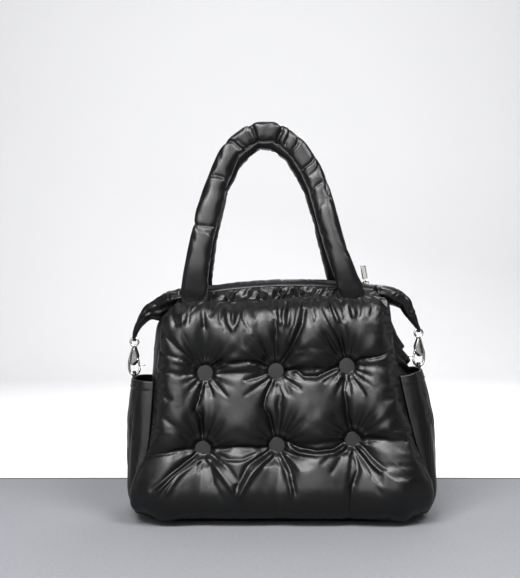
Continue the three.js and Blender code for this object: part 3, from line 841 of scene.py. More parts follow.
class Bench:
    """Modelling by hand: operators in edit mode, on one piece at a time."""

    @staticmethod
    def start(kind: str, name: str, **settings: object) -> Piece:
        """Adds a primitive and opens it in edit mode, all selected.

        Args:
            kind: Blender's word for the primitive.
            name: Name of the piece.
            settings: Sizes and place of the primitive, in metres.

        Returns:
            The piece.
        """
        bpy.ops.object.select_all(action="DESELECT")
        getattr(bpy.ops.mesh, f"primitive_{kind}_add")(**settings)
        piece = bpy.context.object
        piece.name = piece.data.name = name
        bpy.ops.object.mode_set(mode="EDIT")
        bpy.ops.mesh.select_all(action="SELECT")
        return piece

    @staticmethod
    def pick(wanted: Callable[[bmesh.types.BMFace], bool]) -> None:
        """Selects the faces that a test takes.

        Args:
            wanted: The test.
        """
        mesh = bpy.context.object.data
        bpy.ops.mesh.select_mode(type="FACE")
        bpy.ops.mesh.select_all(action="DESELECT")
        edited = bmesh.from_edit_mesh(mesh)
        for face in edited.faces:
            face.select_set(bool(wanted(face)))
        edited.select_flush_mode()
        bmesh.update_edit_mesh(mesh)

    @staticmethod
    def pick_edges(wanted: Callable[[bmesh.types.BMEdge], bool]) -> None:
        """Selects the edges that a test takes.

        Args:
            wanted: The test.
        """
        mesh = bpy.context.object.data
        bpy.ops.mesh.select_mode(type="EDGE")
        bpy.ops.mesh.select_all(action="DESELECT")
        edited = bmesh.from_edit_mesh(mesh)
        for edge in edited.edges:
            edge.select_set(bool(wanted(edge)))
        edited.select_flush_mode()
        bmesh.update_edit_mesh(mesh)

    @staticmethod
    def shift(matrix: Matrix) -> None:
        """Moves, turns and sizes what is selected.

        Args:
            matrix: The change, in metres.
        """
        mesh = bpy.context.object.data
        edited = bmesh.from_edit_mesh(mesh)
        for vertex in edited.verts:
            if vertex.select:
                vertex.co = matrix @ vertex.co
        bmesh.update_edit_mesh(mesh)

    @staticmethod
    def done(smooth: float = 40.0) -> Piece:
        """Closes edit mode, with faces outwards and the place kept in the mesh.

        Args:
            smooth: Angle in degrees up to which edges are shaded smooth.

        Returns:
            The piece.
        """
        bpy.ops.mesh.select_all(action="SELECT")
        bpy.ops.mesh.remove_doubles(threshold=1e-6)
        bpy.ops.mesh.normals_make_consistent(inside=False)
        bpy.ops.object.mode_set(mode="OBJECT")
        bpy.ops.object.transform_apply(location=True, rotation=True, scale=True)
        bpy.ops.object.shade_smooth_by_angle(angle=math.radians(smooth))
        return bpy.context.object

    @classmethod
    def swept(cls, name: str, stations: Sequence[tuple[Vector, float, float]], sides: int) -> Piece:
        """Extrudes a disc from station to station, in the plane of X and Z.

        Args:
            name: Name of the piece.
            stations: Centre, half width in the plane and half depth along Y, in millimetres.
            sides: Number of sides of the disc.

        Returns:
            The piece, closed at both ends.
        """
        last = len(stations) - 1

        def place(i: int) -> Matrix:
            """Where the disc is at a station."""
            centre, half, depth = stations[i]
            along = stations[min(i + 1, last)][0] - stations[max(i - 1, 0)][0]
            turn = Matrix.Rotation(math.atan2(along.x, along.z), 4, "Y")
            return Matrix.Translation(centre * MM) @ turn @ Matrix.Diagonal((half * MM, depth * MM, 1, 1))

        cls.start("circle", name, vertices=sides, radius=1.0, fill_type="NGON")
        cls.shift(place(0))
        for i in range(1, last + 1):
            bpy.ops.mesh.extrude_region_move()
            cls.shift(place(i) @ place(i - 1).inverted())
        return cls.done()

    @classmethod
    def turned(cls, name: str, profile: Sequence[tuple[float, float]], sides: int) -> Piece:
        """Extrudes a disc upwards through heights and radii, as on a lathe.

        Args:
            name: Name of the piece.
            profile: Height and radius of each step, in millimetres.
            sides: Number of sides.

        Returns:
            The piece, upright on the Z axis.
        """
        return cls.swept(name, [(Vector((0, 0, z)), r, r) for z, r in profile], sides)

    @staticmethod
    def join(*pieces: Piece) -> Piece:
        """Joins pieces into the first one.

        Args:
            pieces: The pieces.

        Returns:
            The first piece, which holds them all.
        """
        make_active(pieces[0])
        for piece in pieces:
            piece.select_set(True)
        bpy.ops.object.join()
        return pieces[0]

    @staticmethod
    def cut(piece: Piece, tool: Piece) -> None:
        """Cuts a piece with a tool, which is then put away."""
        apply_modifier(piece, "BOOLEAN", operation="DIFFERENCE", object=tool, solver="EXACT")
        bpy.data.objects.remove(tool)

    @classmethod
    def block(cls, name: str, low: Vector, high: Vector, round_off: float, steps: int = 3) -> Piece:
        """Makes a block from one corner to another, with rounded edges.

        Args:
            name: Name of the piece.
            low: Lowest corner, in millimetres.
            high: Highest corner, in millimetres.
            round_off: Radius of its edges.
            steps: Facets round an edge.

        Returns:
            The piece.
        """
        cls.start("cube", name, size=1.0)
        size = (high - low) * MM
        cls.shift(Matrix.Translation((low + high) / 2 * MM) @ Matrix.Diagonal((*size, 1)))
        bpy.ops.mesh.bevel(offset=round_off * MM, segments=steps, affect="EDGES")
        return cls.done()


@dataclass
class PaddedPanel:
    """A padded panel: a cover that puffs out of its seam, pulled in at buttons and creased, over a lining."""

    face: Face
    creases: tuple[Fold, ...]
    buttons: tuple[tuple[str, float, float], ...] = ()
    columns: int = 150
    rows: int = 116
    puff: float = 38.0
    side_reach: float = 46.0
    top_reach: float = 56.0
    bottom_reach: float = 38.0
    tuft_depth: float = 0.73
    rim_roll: float = 2.4
    tuft_floor: float = 9.0
    tuft_reach: float = 23.0
    stretch_up: float = 2.2
    stretch_down: float = 1.5
    row_sink: float = 0.36
    reach_above: float = 10.0
    reach_below: float = 26.0
    column_sink: float = 0.12
    column_reach: float = 13.0
    seam_row: int = 6
    gather_height: float = 1.3
    pleat_height: float = 1.1
    pleat_reach: float = 27.0
    pleats: int = 15
    hang: float = 17.0
    overhang: Table = Table(("z", "left", "right"), (
        (8, 14, 10), (50, 14, 10), (90, 9, 6), (140, 6, 2), (190, 5, 0), (257, 4, 0),
    ))
    fill: float = 0.75
    settling: Settling = Settling(frames=20, pressure=0.6, bending=0.12, reach=5.0)

    def build(self) -> Piece:
        """Builds the panel and lets its cover settle.

        Returns:
            The dressed panel.
        """
        u = np.linspace(0, 1, self.columns + 1)[None, :]
        v = np.linspace(0, 1, self.rows + 1)[:, None]
        shape = BagShape
        level = lerp(shape.bottom, shape.top, v) + 0 * u
        left, right = shape.seam.read("left", level), shape.seam.read("right", level)
        x = lerp(left, right, u)
        z = level + (shape.top_seam.read("z", x) - shape.top) * v ** 6
        side = np.minimum(x - left, right - x)
        top, bottom = shape.top - level, level - shape.bottom
        away = self._from_buttons(x, z)
        rise, line = self._puff(x, z, side, top, bottom, away)
        y = self.face.value * (shape.seam.read("depth", level) + rise)
        droop = self.hang * np.exp(-(((bottom - 14) / 10) ** 2))
        z = z - droop * smoothstep(bottom, 0, 6) * smoothstep(side, 0, 30)
        near = np.exp(-(((side - 9) / 9) ** 2)) * smoothstep(side, 0, 5) * smoothstep(top, 0, 30)
        near = near * smoothstep(bottom, 0, 14)
        at_left, at_right = self.overhang.read("left", level), self.overhang.read("right", level)
        x = x + near * np.where(u < 0.5, -at_left, at_right)
        cover = np.stack([x, y, z], -1)
        faces = grid_faces(*x.shape)
        if self.face is Face.BACK:
            faces = [corners[::-1] for corners in faces]
        piece = make_piece(f"{self.face.word}_panel_cover", cover, faces)
        self._settle(piece, side, top, bottom, away, line)
        seam = read_points(piece).reshape(cover.shape)[self.seam_row, 4:-4]
        subdivide(piece)
        self._line(piece)
        outward = np.tile(np.array([0.0, 0.8 * self.face.value, -0.6]), (len(seam), 1))
        StitchRow(f"{self.face.word}_bottom_stitches").build(seam, outward)
        return dress(piece, SHELL, f"{self.face.word}_panel")

    def _from_buttons(self, x: Array, z: Array) -> Array:
        """Measures how far points are from each button.

        Args:
            x: Places across the bag.
            z: Heights.

        Returns:
            The distances, or one layer of large ones where there are no buttons.
        """
        if not self.buttons:
            return np.full((1, *x.shape), 1e3)
        return np.stack([np.hypot(x - bx, z - bz) for _, bx, bz in self.buttons])

    def _puff(self, x: Array, z: Array, side: Array, top: Array, bottom: Array,
              away: Array) -> tuple[Array, Array]:
        """Works out how far the cover stands out of its seam.

        Args:
            x: Places across the bag.
            z: Heights.
            side: Distances to the nearer side seam.
            top: Distances to the top seam.
            bottom: Distances to the bottom seam.
            away: Distances to each button.

        Returns:
            The rise, and the distance to the nearest deep valley.
        """
        def dome(distance: Array, reach: float) -> Array:
            """Rise of the padding from a seam, from 0 to 1."""
            return 1 - (1 - np.clip(distance / reach, 0, 1)) ** 2.2

        rise = self.puff * dome(side, self.side_reach) * dome(top, self.top_reach)
        rise = rise * dome(bottom, self.bottom_reach)
        rise = rise * lerp(0.25, 1.0, smoothstep(top + 3 * ripple(x, 23.0, 0.4), 0, 13))
        for distance, (_, _, bz) in zip(away, self.buttons):
            steep = (z - bz) / np.maximum(distance, 1)
            stretch = np.where(steep > 0, self.stretch_up, self.stretch_down)
            reach = self.tuft_reach * lerp(1.0, stretch, steep ** 4)
            pull = np.exp(-np.maximum(0, distance - self.tuft_floor) / reach)
            rise = rise * (1 - self.tuft_depth * pull)
        rise = rise * self._quilt(x, z)
        for i, (_, bx, bz) in enumerate(self.buttons):
            turn = np.arctan2(z - bz, x - bx)
            fan = np.sin(self.pleats * turn + 1.4 * np.sin(2 * turn + i) + 1.7 * i)
            fan = fan * (0.65 + 0.35 * np.sin(3 * turn + i))
            above = np.clip(np.sin(turn), 0, 1)
            reach = self.pleat_reach * (1 + 0.5 * above)
            near = np.exp(-((np.maximum(0, away[i] - 12) / reach) ** 1.3)) * smoothstep(away[i], 9, 14)
            roll = self.rim_roll * np.exp(-(((away[i] - 13) / 3.5) ** 2)) * (1 + 0.25 * fan)
            rise = rise + self.pleat_height * (1 + 1.1 * above) * fan * near + roll
        gather = 0.6 * np.exp(-top / 11) * smoothstep(top, 0, 5) * ripple(x + 3 * ripple(z, 9.0), 13.0)
        gather += 0.85 * np.exp(-side / 10) * smoothstep(side, 0, 4) * ripple(z, 10.5, 1.0)
        gather += 0.9 * np.exp(-bottom / 13) * smoothstep(bottom, 0, 4) * ripple(x + 0.3 * z, 19.0, 2.0)
        pressed = Creases.of(self.creases, x, z)
        return rise + pressed.rise * np.clip(rise / 10, 0, 1) + self.gather_height * gather, pressed.line

    def _quilt(self, x: Array, z: Array) -> Array:
        """Works out the soft hollows between buttons of one row or one column.

        Args:
            x: Places across the bag.
            z: Heights.

        Returns:
            The share of the puff that is left.
        """
        left = np.ones(np.shape(x))
        for i in range(0, len(self.buttons), 3):
            row = np.array([place[1:] for place in self.buttons[i:i + 3]])
            line = np.interp(x, row[:, 0], row[:, 1])
            beyond = np.maximum(0, np.maximum(row[0, 0] - x, x - row[-1, 0]))
            reach = np.where(z > line, self.reach_above, self.reach_below)
            left = left * (1 - self.row_sink * np.exp(-np.abs(z - line) / reach - beyond / 60))
        for upper, lower in zip(self.buttons[:3], self.buttons[3:]):
            line = np.interp(z, (lower[2], upper[2]), (lower[1], upper[1]))
            left = left * (1 - self.column_sink * np.exp(-np.abs(x - line) / self.column_reach))
        return left

    def _settle(self, piece: Piece, side: Array, top: Array, bottom: Array, away: Array, line: Array) -> None:
        """Lets the cover settle between its seams, buttons and deep valleys.

        Args:
            piece: The cover.
            side: Distances from the side seams.
            top: Distances from the top seam.
            bottom: Distances from the bottom seam.
            away: Distances from each button.
            line: Distances from the deep valleys.
        """
        nearest = away.min(0)
        border = np.minimum(side, np.minimum(top, bottom)) < 1e-6
        held = np.where(border | (nearest < self.tuft_floor), 1.0, np.where(line < 1.3, 0.15, 0.0))
        slack = 0.004 + 0.06 * np.exp(-top / 20) + 0.02 * np.exp(-side / 20)
        slack += 0.03 * np.exp(-np.maximum(0, nearest - self.tuft_floor) / 15)
        self.settling.relax(piece, held, slack)

    def _line(self, piece: Piece) -> None:
        """Closes the panel behind its cover with a flat lining.

        Args:
            piece: The cover.
        """
        mesh = bmesh.new()
        mesh.from_mesh(piece.data)
        rim = [edge for edge in mesh.edges if edge.is_boundary]
        extruded = bmesh.ops.extrude_edge_only(mesh, edges=rim)["geom"]
        for vertex in extruded:
            if isinstance(vertex, bmesh.types.BMVert):
                vertex.co.y = self.face.value * float(BagShape.lining(vertex.co.z / MM)) * MM
        edges = [edge for edge in mesh.edges if edge.is_boundary]
        bmesh.ops.edgeloop_fill(mesh, edges=edges)
        bmesh.ops.recalc_face_normals(mesh, faces=mesh.faces)
        mesh.to_mesh(piece.data)
        mesh.free()
        piece.data.update()


@dataclass
class CoveredButton:
    """A flat button covered in nylon that is gathered under its rim."""

    node: str
    sides: int = 48
    thinness: float = 0.38
    sink: float = 1.0

    def build(self) -> Piece:
        """Models the button where its solid is.

        Returns:
            The dressed button.
        """
        low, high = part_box(self.node)
        radius = (high.x - low.x) / 2
        depth = self.thinness * (high.y - low.y)
        centre = Vector(((low.x + high.x) / 2, high.y - depth / 2 + self.sink * MM, (low.z + high.z) / 2))
        piece = Bench.start("cylinder", f"{self.node}_cover", vertices=self.sides, radius=radius, depth=depth,
                            location=centre, rotation=(math.pi / 2, 0, 0))
        Bench.pick(lambda face: face.normal.z > 0.9)
        bpy.ops.mesh.inset(thickness=0.12 * radius, depth=0.0)
        bpy.ops.mesh.inset(thickness=0.16 * radius, depth=0.03 * depth)
        bpy.ops.mesh.inset(thickness=0.30 * radius, depth=0.02 * depth)
        Bench.pick(lambda face: face.normal.z < -0.9)
        bpy.ops.mesh.inset(thickness=0.25 * radius, depth=0.0)
        Bench.pick_edges(lambda edge: self._on_rim(edge, radius))
        bpy.ops.mesh.bevel(offset=0.22 * depth, segments=3, affect="EDGES")
        Bench.done()
        subdivide(piece)
        # The cover's paler colour is painted light on the button's face.
        return dress(piece, COVER_PAINTED_PALE, self.node)

    @staticmethod
    def _on_rim(edge: bmesh.types.BMEdge, radius: float) -> bool:
        """Tells whether an edge runs round the button's widest circle.

        Args:
            edge: The edge.
            radius: Radius of the circle in metres.

        Returns:
            Whether it does.
        """
        ends = [math.hypot(vertex.co.x, vertex.co.y) for vertex in edge.verts]
        level = abs(edge.verts[0].co.z - edge.verts[1].co.z) < 1e-7
        return level and min(ends) > 0.98 * radius


@dataclass
class Gusset:
    """A side wall between the two panels, with loose folds."""

    side: Side
    creases: tuple[Fold, ...]
    wall: float = 2.6
    inset: float = 1.0
    top: float = 252.0
    cap: float = 20.0
    cap_out: float = 124.5
    cap_depth: float = 19.0
    columns: int = 64
    rows: int = 120
    bulge = Table(("z", "left", "right"), (
        (8, 7, 7), (60, 10, 9), (120, 10, 14), (165, 9, 20), (185, 10, 21), (205, 11, 16),
        (220, 11, 11), (233, 9, 6), (245, 3, 2), (252, 0, 0),
    ))

    def build(self) -> Piece:
        """Builds the wall between its solid's two faces.

        Returns:
            The dressed gusset.
        """
        shape = BagShape
        u = np.linspace(0, 1, self.columns + 1)[None, :]
        lowest = shape.base_thick + shape.seat_gap
        z = np.linspace(lowest, self.top + self.cap, self.rows + 1)[:, None] + 0 * u
        cap = np.clip((z - self.top) / self.cap, 0, 1)
        y = lerp(-1, 1, u) * lerp(shape.lining(z) - shape.seat_gap, self.cap_depth, cap ** 0.5)
        round_off = 1 - np.abs(2 * u - 1) ** 2.5
        bulge = self.bulge.read(self.side.word, z) * round_off
        out = lerp(shape.edge(self.side, z) - self.inset, self.cap_out, cap) + bulge
        edge = np.minimum(u, 1 - u) * 90
        loose = smoothstep(z, 150, 178) * smoothstep(edge, 0, 8)
        pressed = Creases.of(self.creases, y, z).rise * loose
        pucker = 0.7 * np.exp(-edge / 7) * smoothstep(edge, 0, 3) * ripple(z, 9.0, 0.7)
        out = out + pressed + pucker
        sign = self.side.value
        outer = np.stack([sign * out, y, z], -1)
        inner = np.stack([sign * (out - self.wall), y, z], -1)
        piece = make_wall(f"{self.side.word}_gusset_cloth", outer, inner)
        subdivide(piece)
        return dress(piece, SHELL, f"{self.side.word}_gusset")


@dataclass
class Pocket:
    """A slip pocket wall round the outside of a gusset, with a folded hem at its rim."""

    side: Side
    rim_middle: float
    rim_seam: float
    creases: tuple[Fold, ...] = ()
    wall: float = 2.2
    seam_gap: float = 1.2
    inset: float = 3.5
    roundness: float = 0.7
    hem: float = 11.0
    columns: int = 96
    rows: int = 84
    face_out = Table(("z", "left", "right"), (
        (8, 176, 176), (30, 184, 185), (60, 186, 186), (110, 186, 184.5), (140, 184, 179.5),
        (166, 181, 173.5), (177, 180, 170),
    ))

    def build(self) -> list[Piece]:
        """Builds the wall and the stitches of its hem.

        Returns:
            The dressed pieces.
        """
        outer = self._surface(0.0)
        inner = self._surface(self.wall)
        piece = make_wall(f"{self.side.word}_pocket_cloth", outer, inner)
        subdivide(piece)
        dress(piece, SHELL, f"{self.side.word}_pocket")
        return [piece, self._stitches(outer)]

    def _surface(self, inset: float) -> Array:
        """Lays out one face of the wall.

        Args:
            inset: Distance inside the wall's outer face.

        Returns:
            Rows by columns by 3.
        """
        shape = BagShape
        u = np.linspace(0, 1, self.columns + 1)[None, :]
        v = np.linspace(0, 1, self.rows + 1)[:, None]
        turn = math.pi * u
        rim = lerp(self.rim_seam, self.rim_middle, np.sin(turn))
        z = lerp(shape.base_thick + shape.seat_gap, rim, v)
        root = shape.edge(self.side, z) + self.seam_gap
        width = self.face_out.read(self.side.word, z) - root - inset
        depth = shape.seam.read("depth", z) - self.inset - inset
        out = np.sin(turn) ** self.roundness
        back = -np.sign(np.cos(turn)) * np.abs(np.cos(turn)) ** self.roundness
        points = np.stack([self.side.value * (root + width * out), depth * back, z], -1)
        under = rim - z
        thick = 0.55 * (1 - smoothstep(under, self.hem - 1.2, self.hem + 0.6))
        groove = -0.5 * np.exp(-(((under - self.hem) / 0.8) ** 2))
        around = (u - 0.5) * 2 * (np.abs(width) + depth)
        wave = 0.8 * ripple(around + 0.12 * z, 24.0) + 0.35 * ripple(around - 0.3 * z, 11.0, 1.0)
        wave = wave * smoothstep(under, 4, 40) * np.sin(math.pi * u)
        pressed = Creases.of(self.creases, around, z).rise * smoothstep(under, 2, 14)
        normal = surface_normals(points)
        normal = normal * np.sign(normal[..., :1] * self.side.value + 1e-9)
        away = (thick + groove if inset == 0 else 0 * z) + wave + pressed
        ends = smoothstep(np.minimum(u, 1 - u) + 0 * v, 0, 0.06)
        return points + normal * (away * ends)[..., None]

    def _stitches(self, outer: Array) -> Piece:
        """Sews the hem.

        Args:
            outer: Points of the wall's outer face.

        Returns:
            The dressed stitches.
        """
        u = np.linspace(0, 1, self.columns + 1)
        rim = lerp(self.rim_seam, self.rim_middle, np.sin(math.pi * u))
        line = np.stack([
            [np.interp(rim[i] - self.hem + 1.4, outer[:, i, 2], outer[:, i, k]) for k in range(3)]
            for i in range(4, self.columns - 3)
        ])
        outward = unit(np.cross(np.gradient(line, axis=0), np.array([0.0, 0.0, 1.0])))
        outward = outward * np.sign(np.sum(outward * (line - line.mean(0)) * [1, 1, 0], -1, keepdims=True))
        return StitchRow(f"{self.side.word}_pocket_stitches").build(line, outward)


@dataclass
class StitchRow:
    """A row of stitches along a line on the cloth."""

    name: str
    length: float = 2.6
    gap: float = 1.0
    half: float = 0.28
    finish: Finish = THREAD

    def build(self, line: Array, outward: Array) -> Piece:
        """Lays the stitches.

        Args:
            line: Points along the seam, in millimetres.
            outward: Directions out of the cloth at those points.

        Returns:
            The dressed row.
        """
        run = np.concatenate([[0], np.cumsum(np.linalg.norm(np.diff(line, axis=0), axis=1))])
        starts = np.arange(self.gap, run[-1] - self.length, self.length + self.gap)
        bends = np.array([0.0, 0.18, 0.5, 0.82, 1.0])
        girth = np.array([0.15, 0.85, 1.0, 0.85, 0.15]) * self.half
        lift = np.array([-0.25, 0.1, 0.3, 0.1, -0.25])
        place = (starts[:, None] + bends[None, :] * self.length).ravel()

        def at(values: Array) -> Array:
            """Values at the stitches' own points."""
            return np.stack([np.interp(place, run, values[:, k]) for k in range(3)], -1)

        centre, out = at(line), unit(at(outward))
        along = unit(at(np.gradient(line, axis=0)))
        sideways = np.cross(along, out)
        count = len(starts)
        radius = np.tile(girth, count)[:, None]
        centre = centre + out * np.tile(lift, count)[:, None]
        turns = np.linspace(0, 2 * math.pi, 6, endpoint=False)
        rings = np.stack([centre + radius * (out * math.cos(t) + sideways * math.sin(t)) for t in turns], 1)
        faces: list[list[int]] = []
        size = len(bends) * len(turns)
        for i in range(count):
            faces += grid_faces(len(bends), len(turns), wrapped=True, start=i * size)
            faces.append(list(range(i * size, i * size + 6))[::-1])
            faces.append(list(range((i + 1) * size - 6, (i + 1) * size)))
        piece = make_piece(self.name, rings, faces)
        face_outwards(piece)
        return dress(piece, self.finish)


@dataclass
class Facing:
    """A ruffled strip from a panel's gathered seam up to its zip band."""

    face: Face
    thick: float = 1.6
    foot_gap: float = -2.5
    bottom: float = 41.0
    top: float = 25.0
    below_ridge: float = 8.4
    half_width: float = 123.0
    ruffle: float = 4.2
    pitch: float = 15.0
    columns: int = 260
    rows: int = 26
    settling: Settling = Settling(frames=12, pressure=0.4, bending=4.0, reach=3.0)

    def build(self) -> Piece:
        """Builds the strip and lets its slack ruffle.

        Returns:
            The dressed facing.
        """
        shape = BagShape
        x = np.linspace(-self.half_width, self.half_width, self.columns + 1)[None, :]
        v = np.linspace(0, 1, self.rows + 1)[:, None]
        lean = 7.0 * v
        hill = 1 - 2 * np.abs(np.sin(0.5 * math.pi * (x + lean) / self.pitch + 0.7 * np.sin(x / 19)))
        fine = 0.35 * ripple(x - 1.5 * lean, 14.0, 1.0)
        wave = self.ruffle * (hill + fine) * np.sin(math.pi * v ** 0.8) ** 1.1
        wave = wave + 0.7 * ripple(x, 7.5) * np.exp(-v / 0.2) * smoothstep(v, 0, 0.12)
        turned = 1 - 0.36 * smoothstep(np.abs(x), self.half_width - 13, self.half_width)
        y = self.face.value * (lerp(self.bottom, self.top, v) + wave) * turned
        foot = shape.top_seam.read("z", x) + self.foot_gap
        z = lerp(foot, shape.ridge(x) - self.below_ridge, v)
        points = np.stack([x + 0 * v, y, z], -1)
        faces = grid_faces(*v.repeat(self.columns + 1, 1).shape)
        if self.face is Face.BACK:
            faces = [corners[::-1] for corners in faces]
        strip = make_piece(f"{self.face.word}_facing_strip", points, faces)
        ends = np.minimum(x + self.half_width, self.half_width - x) + 0 * v
        held = np.where((v < 1e-6) | (v > 1 - 1e-6) | (ends < 1e-6), 1.0, 0.0)
        self.settling.relax(strip, held, 0.04 * np.ones_like(held))
        outer = read_points(strip).reshape(points.shape)
        bpy.data.objects.remove(strip)
        inner = outer - np.array([0.0, self.face.value * self.thick, 0.0])
        piece = make_wall(f"{self.face.word}_facing_ruffle", outer, inner)
        subdivide(piece)
        return dress(piece, SHELL, f"{self.face.word}_facing")


@dataclass
class ZipTop:
    """The closed top: two smooth bands, the tape and coil between them, the slider and its pull."""

    band_end: float = 125.0
    band_reach: float = 119.0
    band_steps: int = 160
    section_points: int = 44
    coil_pitch: float = 1.5
    section = ((25.5, 8), (22, 3.6), (16, 0.4), (11, 0), (6.5, 1.6), (4.6, 4), (6.6, 5), (11.5, 2.9),
               (16.5, 3.6), (22.8, 8.8))
    slider_x: float = 104.0
    slider_foot: float = -1.95
    slider_thick: float = 1.9
    pull_pivot: float = 1.1
    pull_twist: float = math.radians(42)
    pull_lean: float = math.radians(-17)

    def build(self) -> list[Piece]:
        """Builds every piece of the top.

        Returns:
            The dressed pieces.
        """
        pieces = [self._band(face) for face in Face]
        return [*pieces, self._tape(), self._coil(), self._slider(), self._pull(), *self._stitches()]

    def _strip(self, section: Array, steps: int) -> Array:
        """Lays a strip along the ridge.

        Args:
            section: Depth and drop of each corner of its section.
            steps: Steps along the ridge.

        Returns:
            Rings by corners by 3.
        """
        x = np.linspace(-self.band_reach, self.band_reach, steps + 1)
        drop = BagShape.ridge(x)[:, None] - section[None, :, 1]
        y = np.broadcast_to(section[None, :, 0], drop.shape)
        return np.stack([np.broadcast_to(x[:, None], drop.shape), y, drop], -1)

    def _band(self, face: Face) -> Piece:
        """Builds one smooth band.

        Args:
            face: The face of the bag that it belongs to.

        Returns:
            The dressed band.
        """
        corners = np.array(self.section + self.section[:3], float)
        rows = tuple((float(i - 1), *corner) for i, corner in enumerate(corners))
        table = Table(("row", "y", "down"), rows)
        places = np.linspace(0, len(self.section), self.section_points, endpoint=False)
        section = np.stack([table.read("y", places), table.read("down", places)], -1)
        rings = self._strip(section, self.band_steps)
        x = rings[..., 0]
        outer = smoothstep(-np.abs(places[None, :] - 3.0), -3.5, -1.0)
        sag = 0.5 * ripple(x + 0.6 * rings[..., 1], 31.0, 0.8 * face.value) * outer
        sag = sag + 0.35 * ripple(x, 11.0, 1.5) * np.exp(-(((places[None, :] - 1.0) / 0.7) ** 2))
        end = smoothstep(np.abs(x), self.band_reach - 9, self.band_reach)
        rings[..., 2] += np.minimum(sag, 0.25) - 4.0 * end
        rings[..., 1] *= face.value * (1 - 0.3 * end)
        piece = make_tube(f"{face.word}_zip_band_cloth", rings)
        subdivide(piece)
        return dress(piece, SHELL, f"{face.word}_zip_band")

    def _tape(self) -> Piece:
        """Builds the woven tape under the coil.

        Returns:
            The dressed tape.
        """
        half, below, thick = 5.3, 4.4, 1.0
        y = np.linspace(-half, half, 23)
        x = np.linspace(-self.band_end, self.band_end, 121)
        dip = 1.2 * np.maximum(0, (np.abs(y) - 3.8) / 1.5) ** 1.5
        top = BagShape.ridge(x)[:, None] - below - dip[None, :]
        outer = np.stack(np.broadcast_arrays(x[:, None], y[None, :], top), -1)
        piece = make_wall("zip_tape_weave", outer, outer - np.array([0.0, 0.0, thick - 0.25]))
        return dress(piece, TAPE, "zip_tape")

    def _coil(self) -> Piece:
        """Builds the row of interlocked coil teeth.

        Returns:
            The dressed coil.
        """
        reach, girth, below = 2.45, 0.62, 3.15
        across = np.array([-1.0, -0.82, -0.3, 0.3, 0.82, 1.0])
        round_off = np.array([0.45, 0.95, 1.0, 1.0, 0.95, 0.45])
        turns = np.linspace(0, 2 * math.pi, 8, endpoint=False)
        centres = np.arange(-self.band_end + 1, self.band_end - 1, self.coil_pitch)
        rings, faces = [], []
        for i, x in enumerate(centres):
            shift = 0.35 if i % 2 else -0.35
            base = i * len(across) * len(turns)
            ring = np.stack(np.broadcast_arrays(
                x + girth * round_off[:, None] * np.cos(turns),
                (reach * across + shift * (1 - np.abs(across)))[:, None],
                BagShape.ridge(x) - below + 0.8 * girth * round_off[:, None] * np.sin(turns),
            ), -1)
            rings.append(ring)
            faces += grid_faces(len(across), len(turns), wrapped=True, start=base)
            faces.append(list(range(base, base + 8)))
            faces.append(list(range(base + 40, base + 48)))
        piece = make_piece("zip_coil_teeth", np.concatenate(rings), faces)
        face_outwards(piece)
        return dress(piece, COIL, "zip_chain")

    def _slider_place(self) -> Matrix:
        """Works out where the slider sits on the ridge.

        Returns:
            The slider's place and tilt, in metres.
        """
        slope = math.atan(2 * BagShape.ridge_fall * (self.slider_x - BagShape.ridge_x))
        origin = Vector((self.slider_x, 0, float(BagShape.ridge(self.slider_x)))) * MM
        return Matrix.Translation(origin) @ Matrix.Rotation(slope, 4, "Y")

    def _slider(self) -> Piece:
        """Models the slider with its bridge.

        Returns:
            The dressed slider.
        """
        foot, top = self.slider_foot, self.slider_foot + self.slider_thick
        Bench.start("cube", "slider_plate", size=1.0)
        slider_size = Matrix.Diagonal((9.5 * MM, 7.2 * MM, 1.9 * MM, 1))
        Bench.shift(Matrix.Translation((0, 0, (foot + top) / 2 * MM)) @ slider_size)
        Bench.pick_edges(lambda edge: abs(edge.verts[0].co.z - edge.verts[1].co.z) > 1e-4)
        bpy.ops.mesh.bevel(offset=2.0 * MM, segments=5, affect="EDGES")
        Bench.pick(lambda face: face.normal.z > 0.9)
        bpy.ops.mesh.inset(thickness=0.5 * MM, depth=0.0)
        bpy.ops.mesh.inset(thickness=0.5 * MM, depth=0.15 * MM)
        plate = Bench.done()
        apply_modifier(plate, "BEVEL", width=0.25 * MM, segments=2, limit_method="ANGLE")
        turns = np.linspace(0, math.pi, 13)
        crown_line = [Vector((-3.2 * math.cos(t), 0, top - 0.8 + 4.2 * math.sin(t) ** 0.8)) for t in turns]
        arch = [(point, 0.8, 0.95) for point in crown_line]
        bridge = Bench.swept("slider_bridge", arch, 14)
        piece = Bench.join(plate, bridge)
        piece.name = piece.data.name = "zip_slider_metal"
        piece.data.transform(self._slider_place())
        return dress(piece, METAL, "zip_slider")

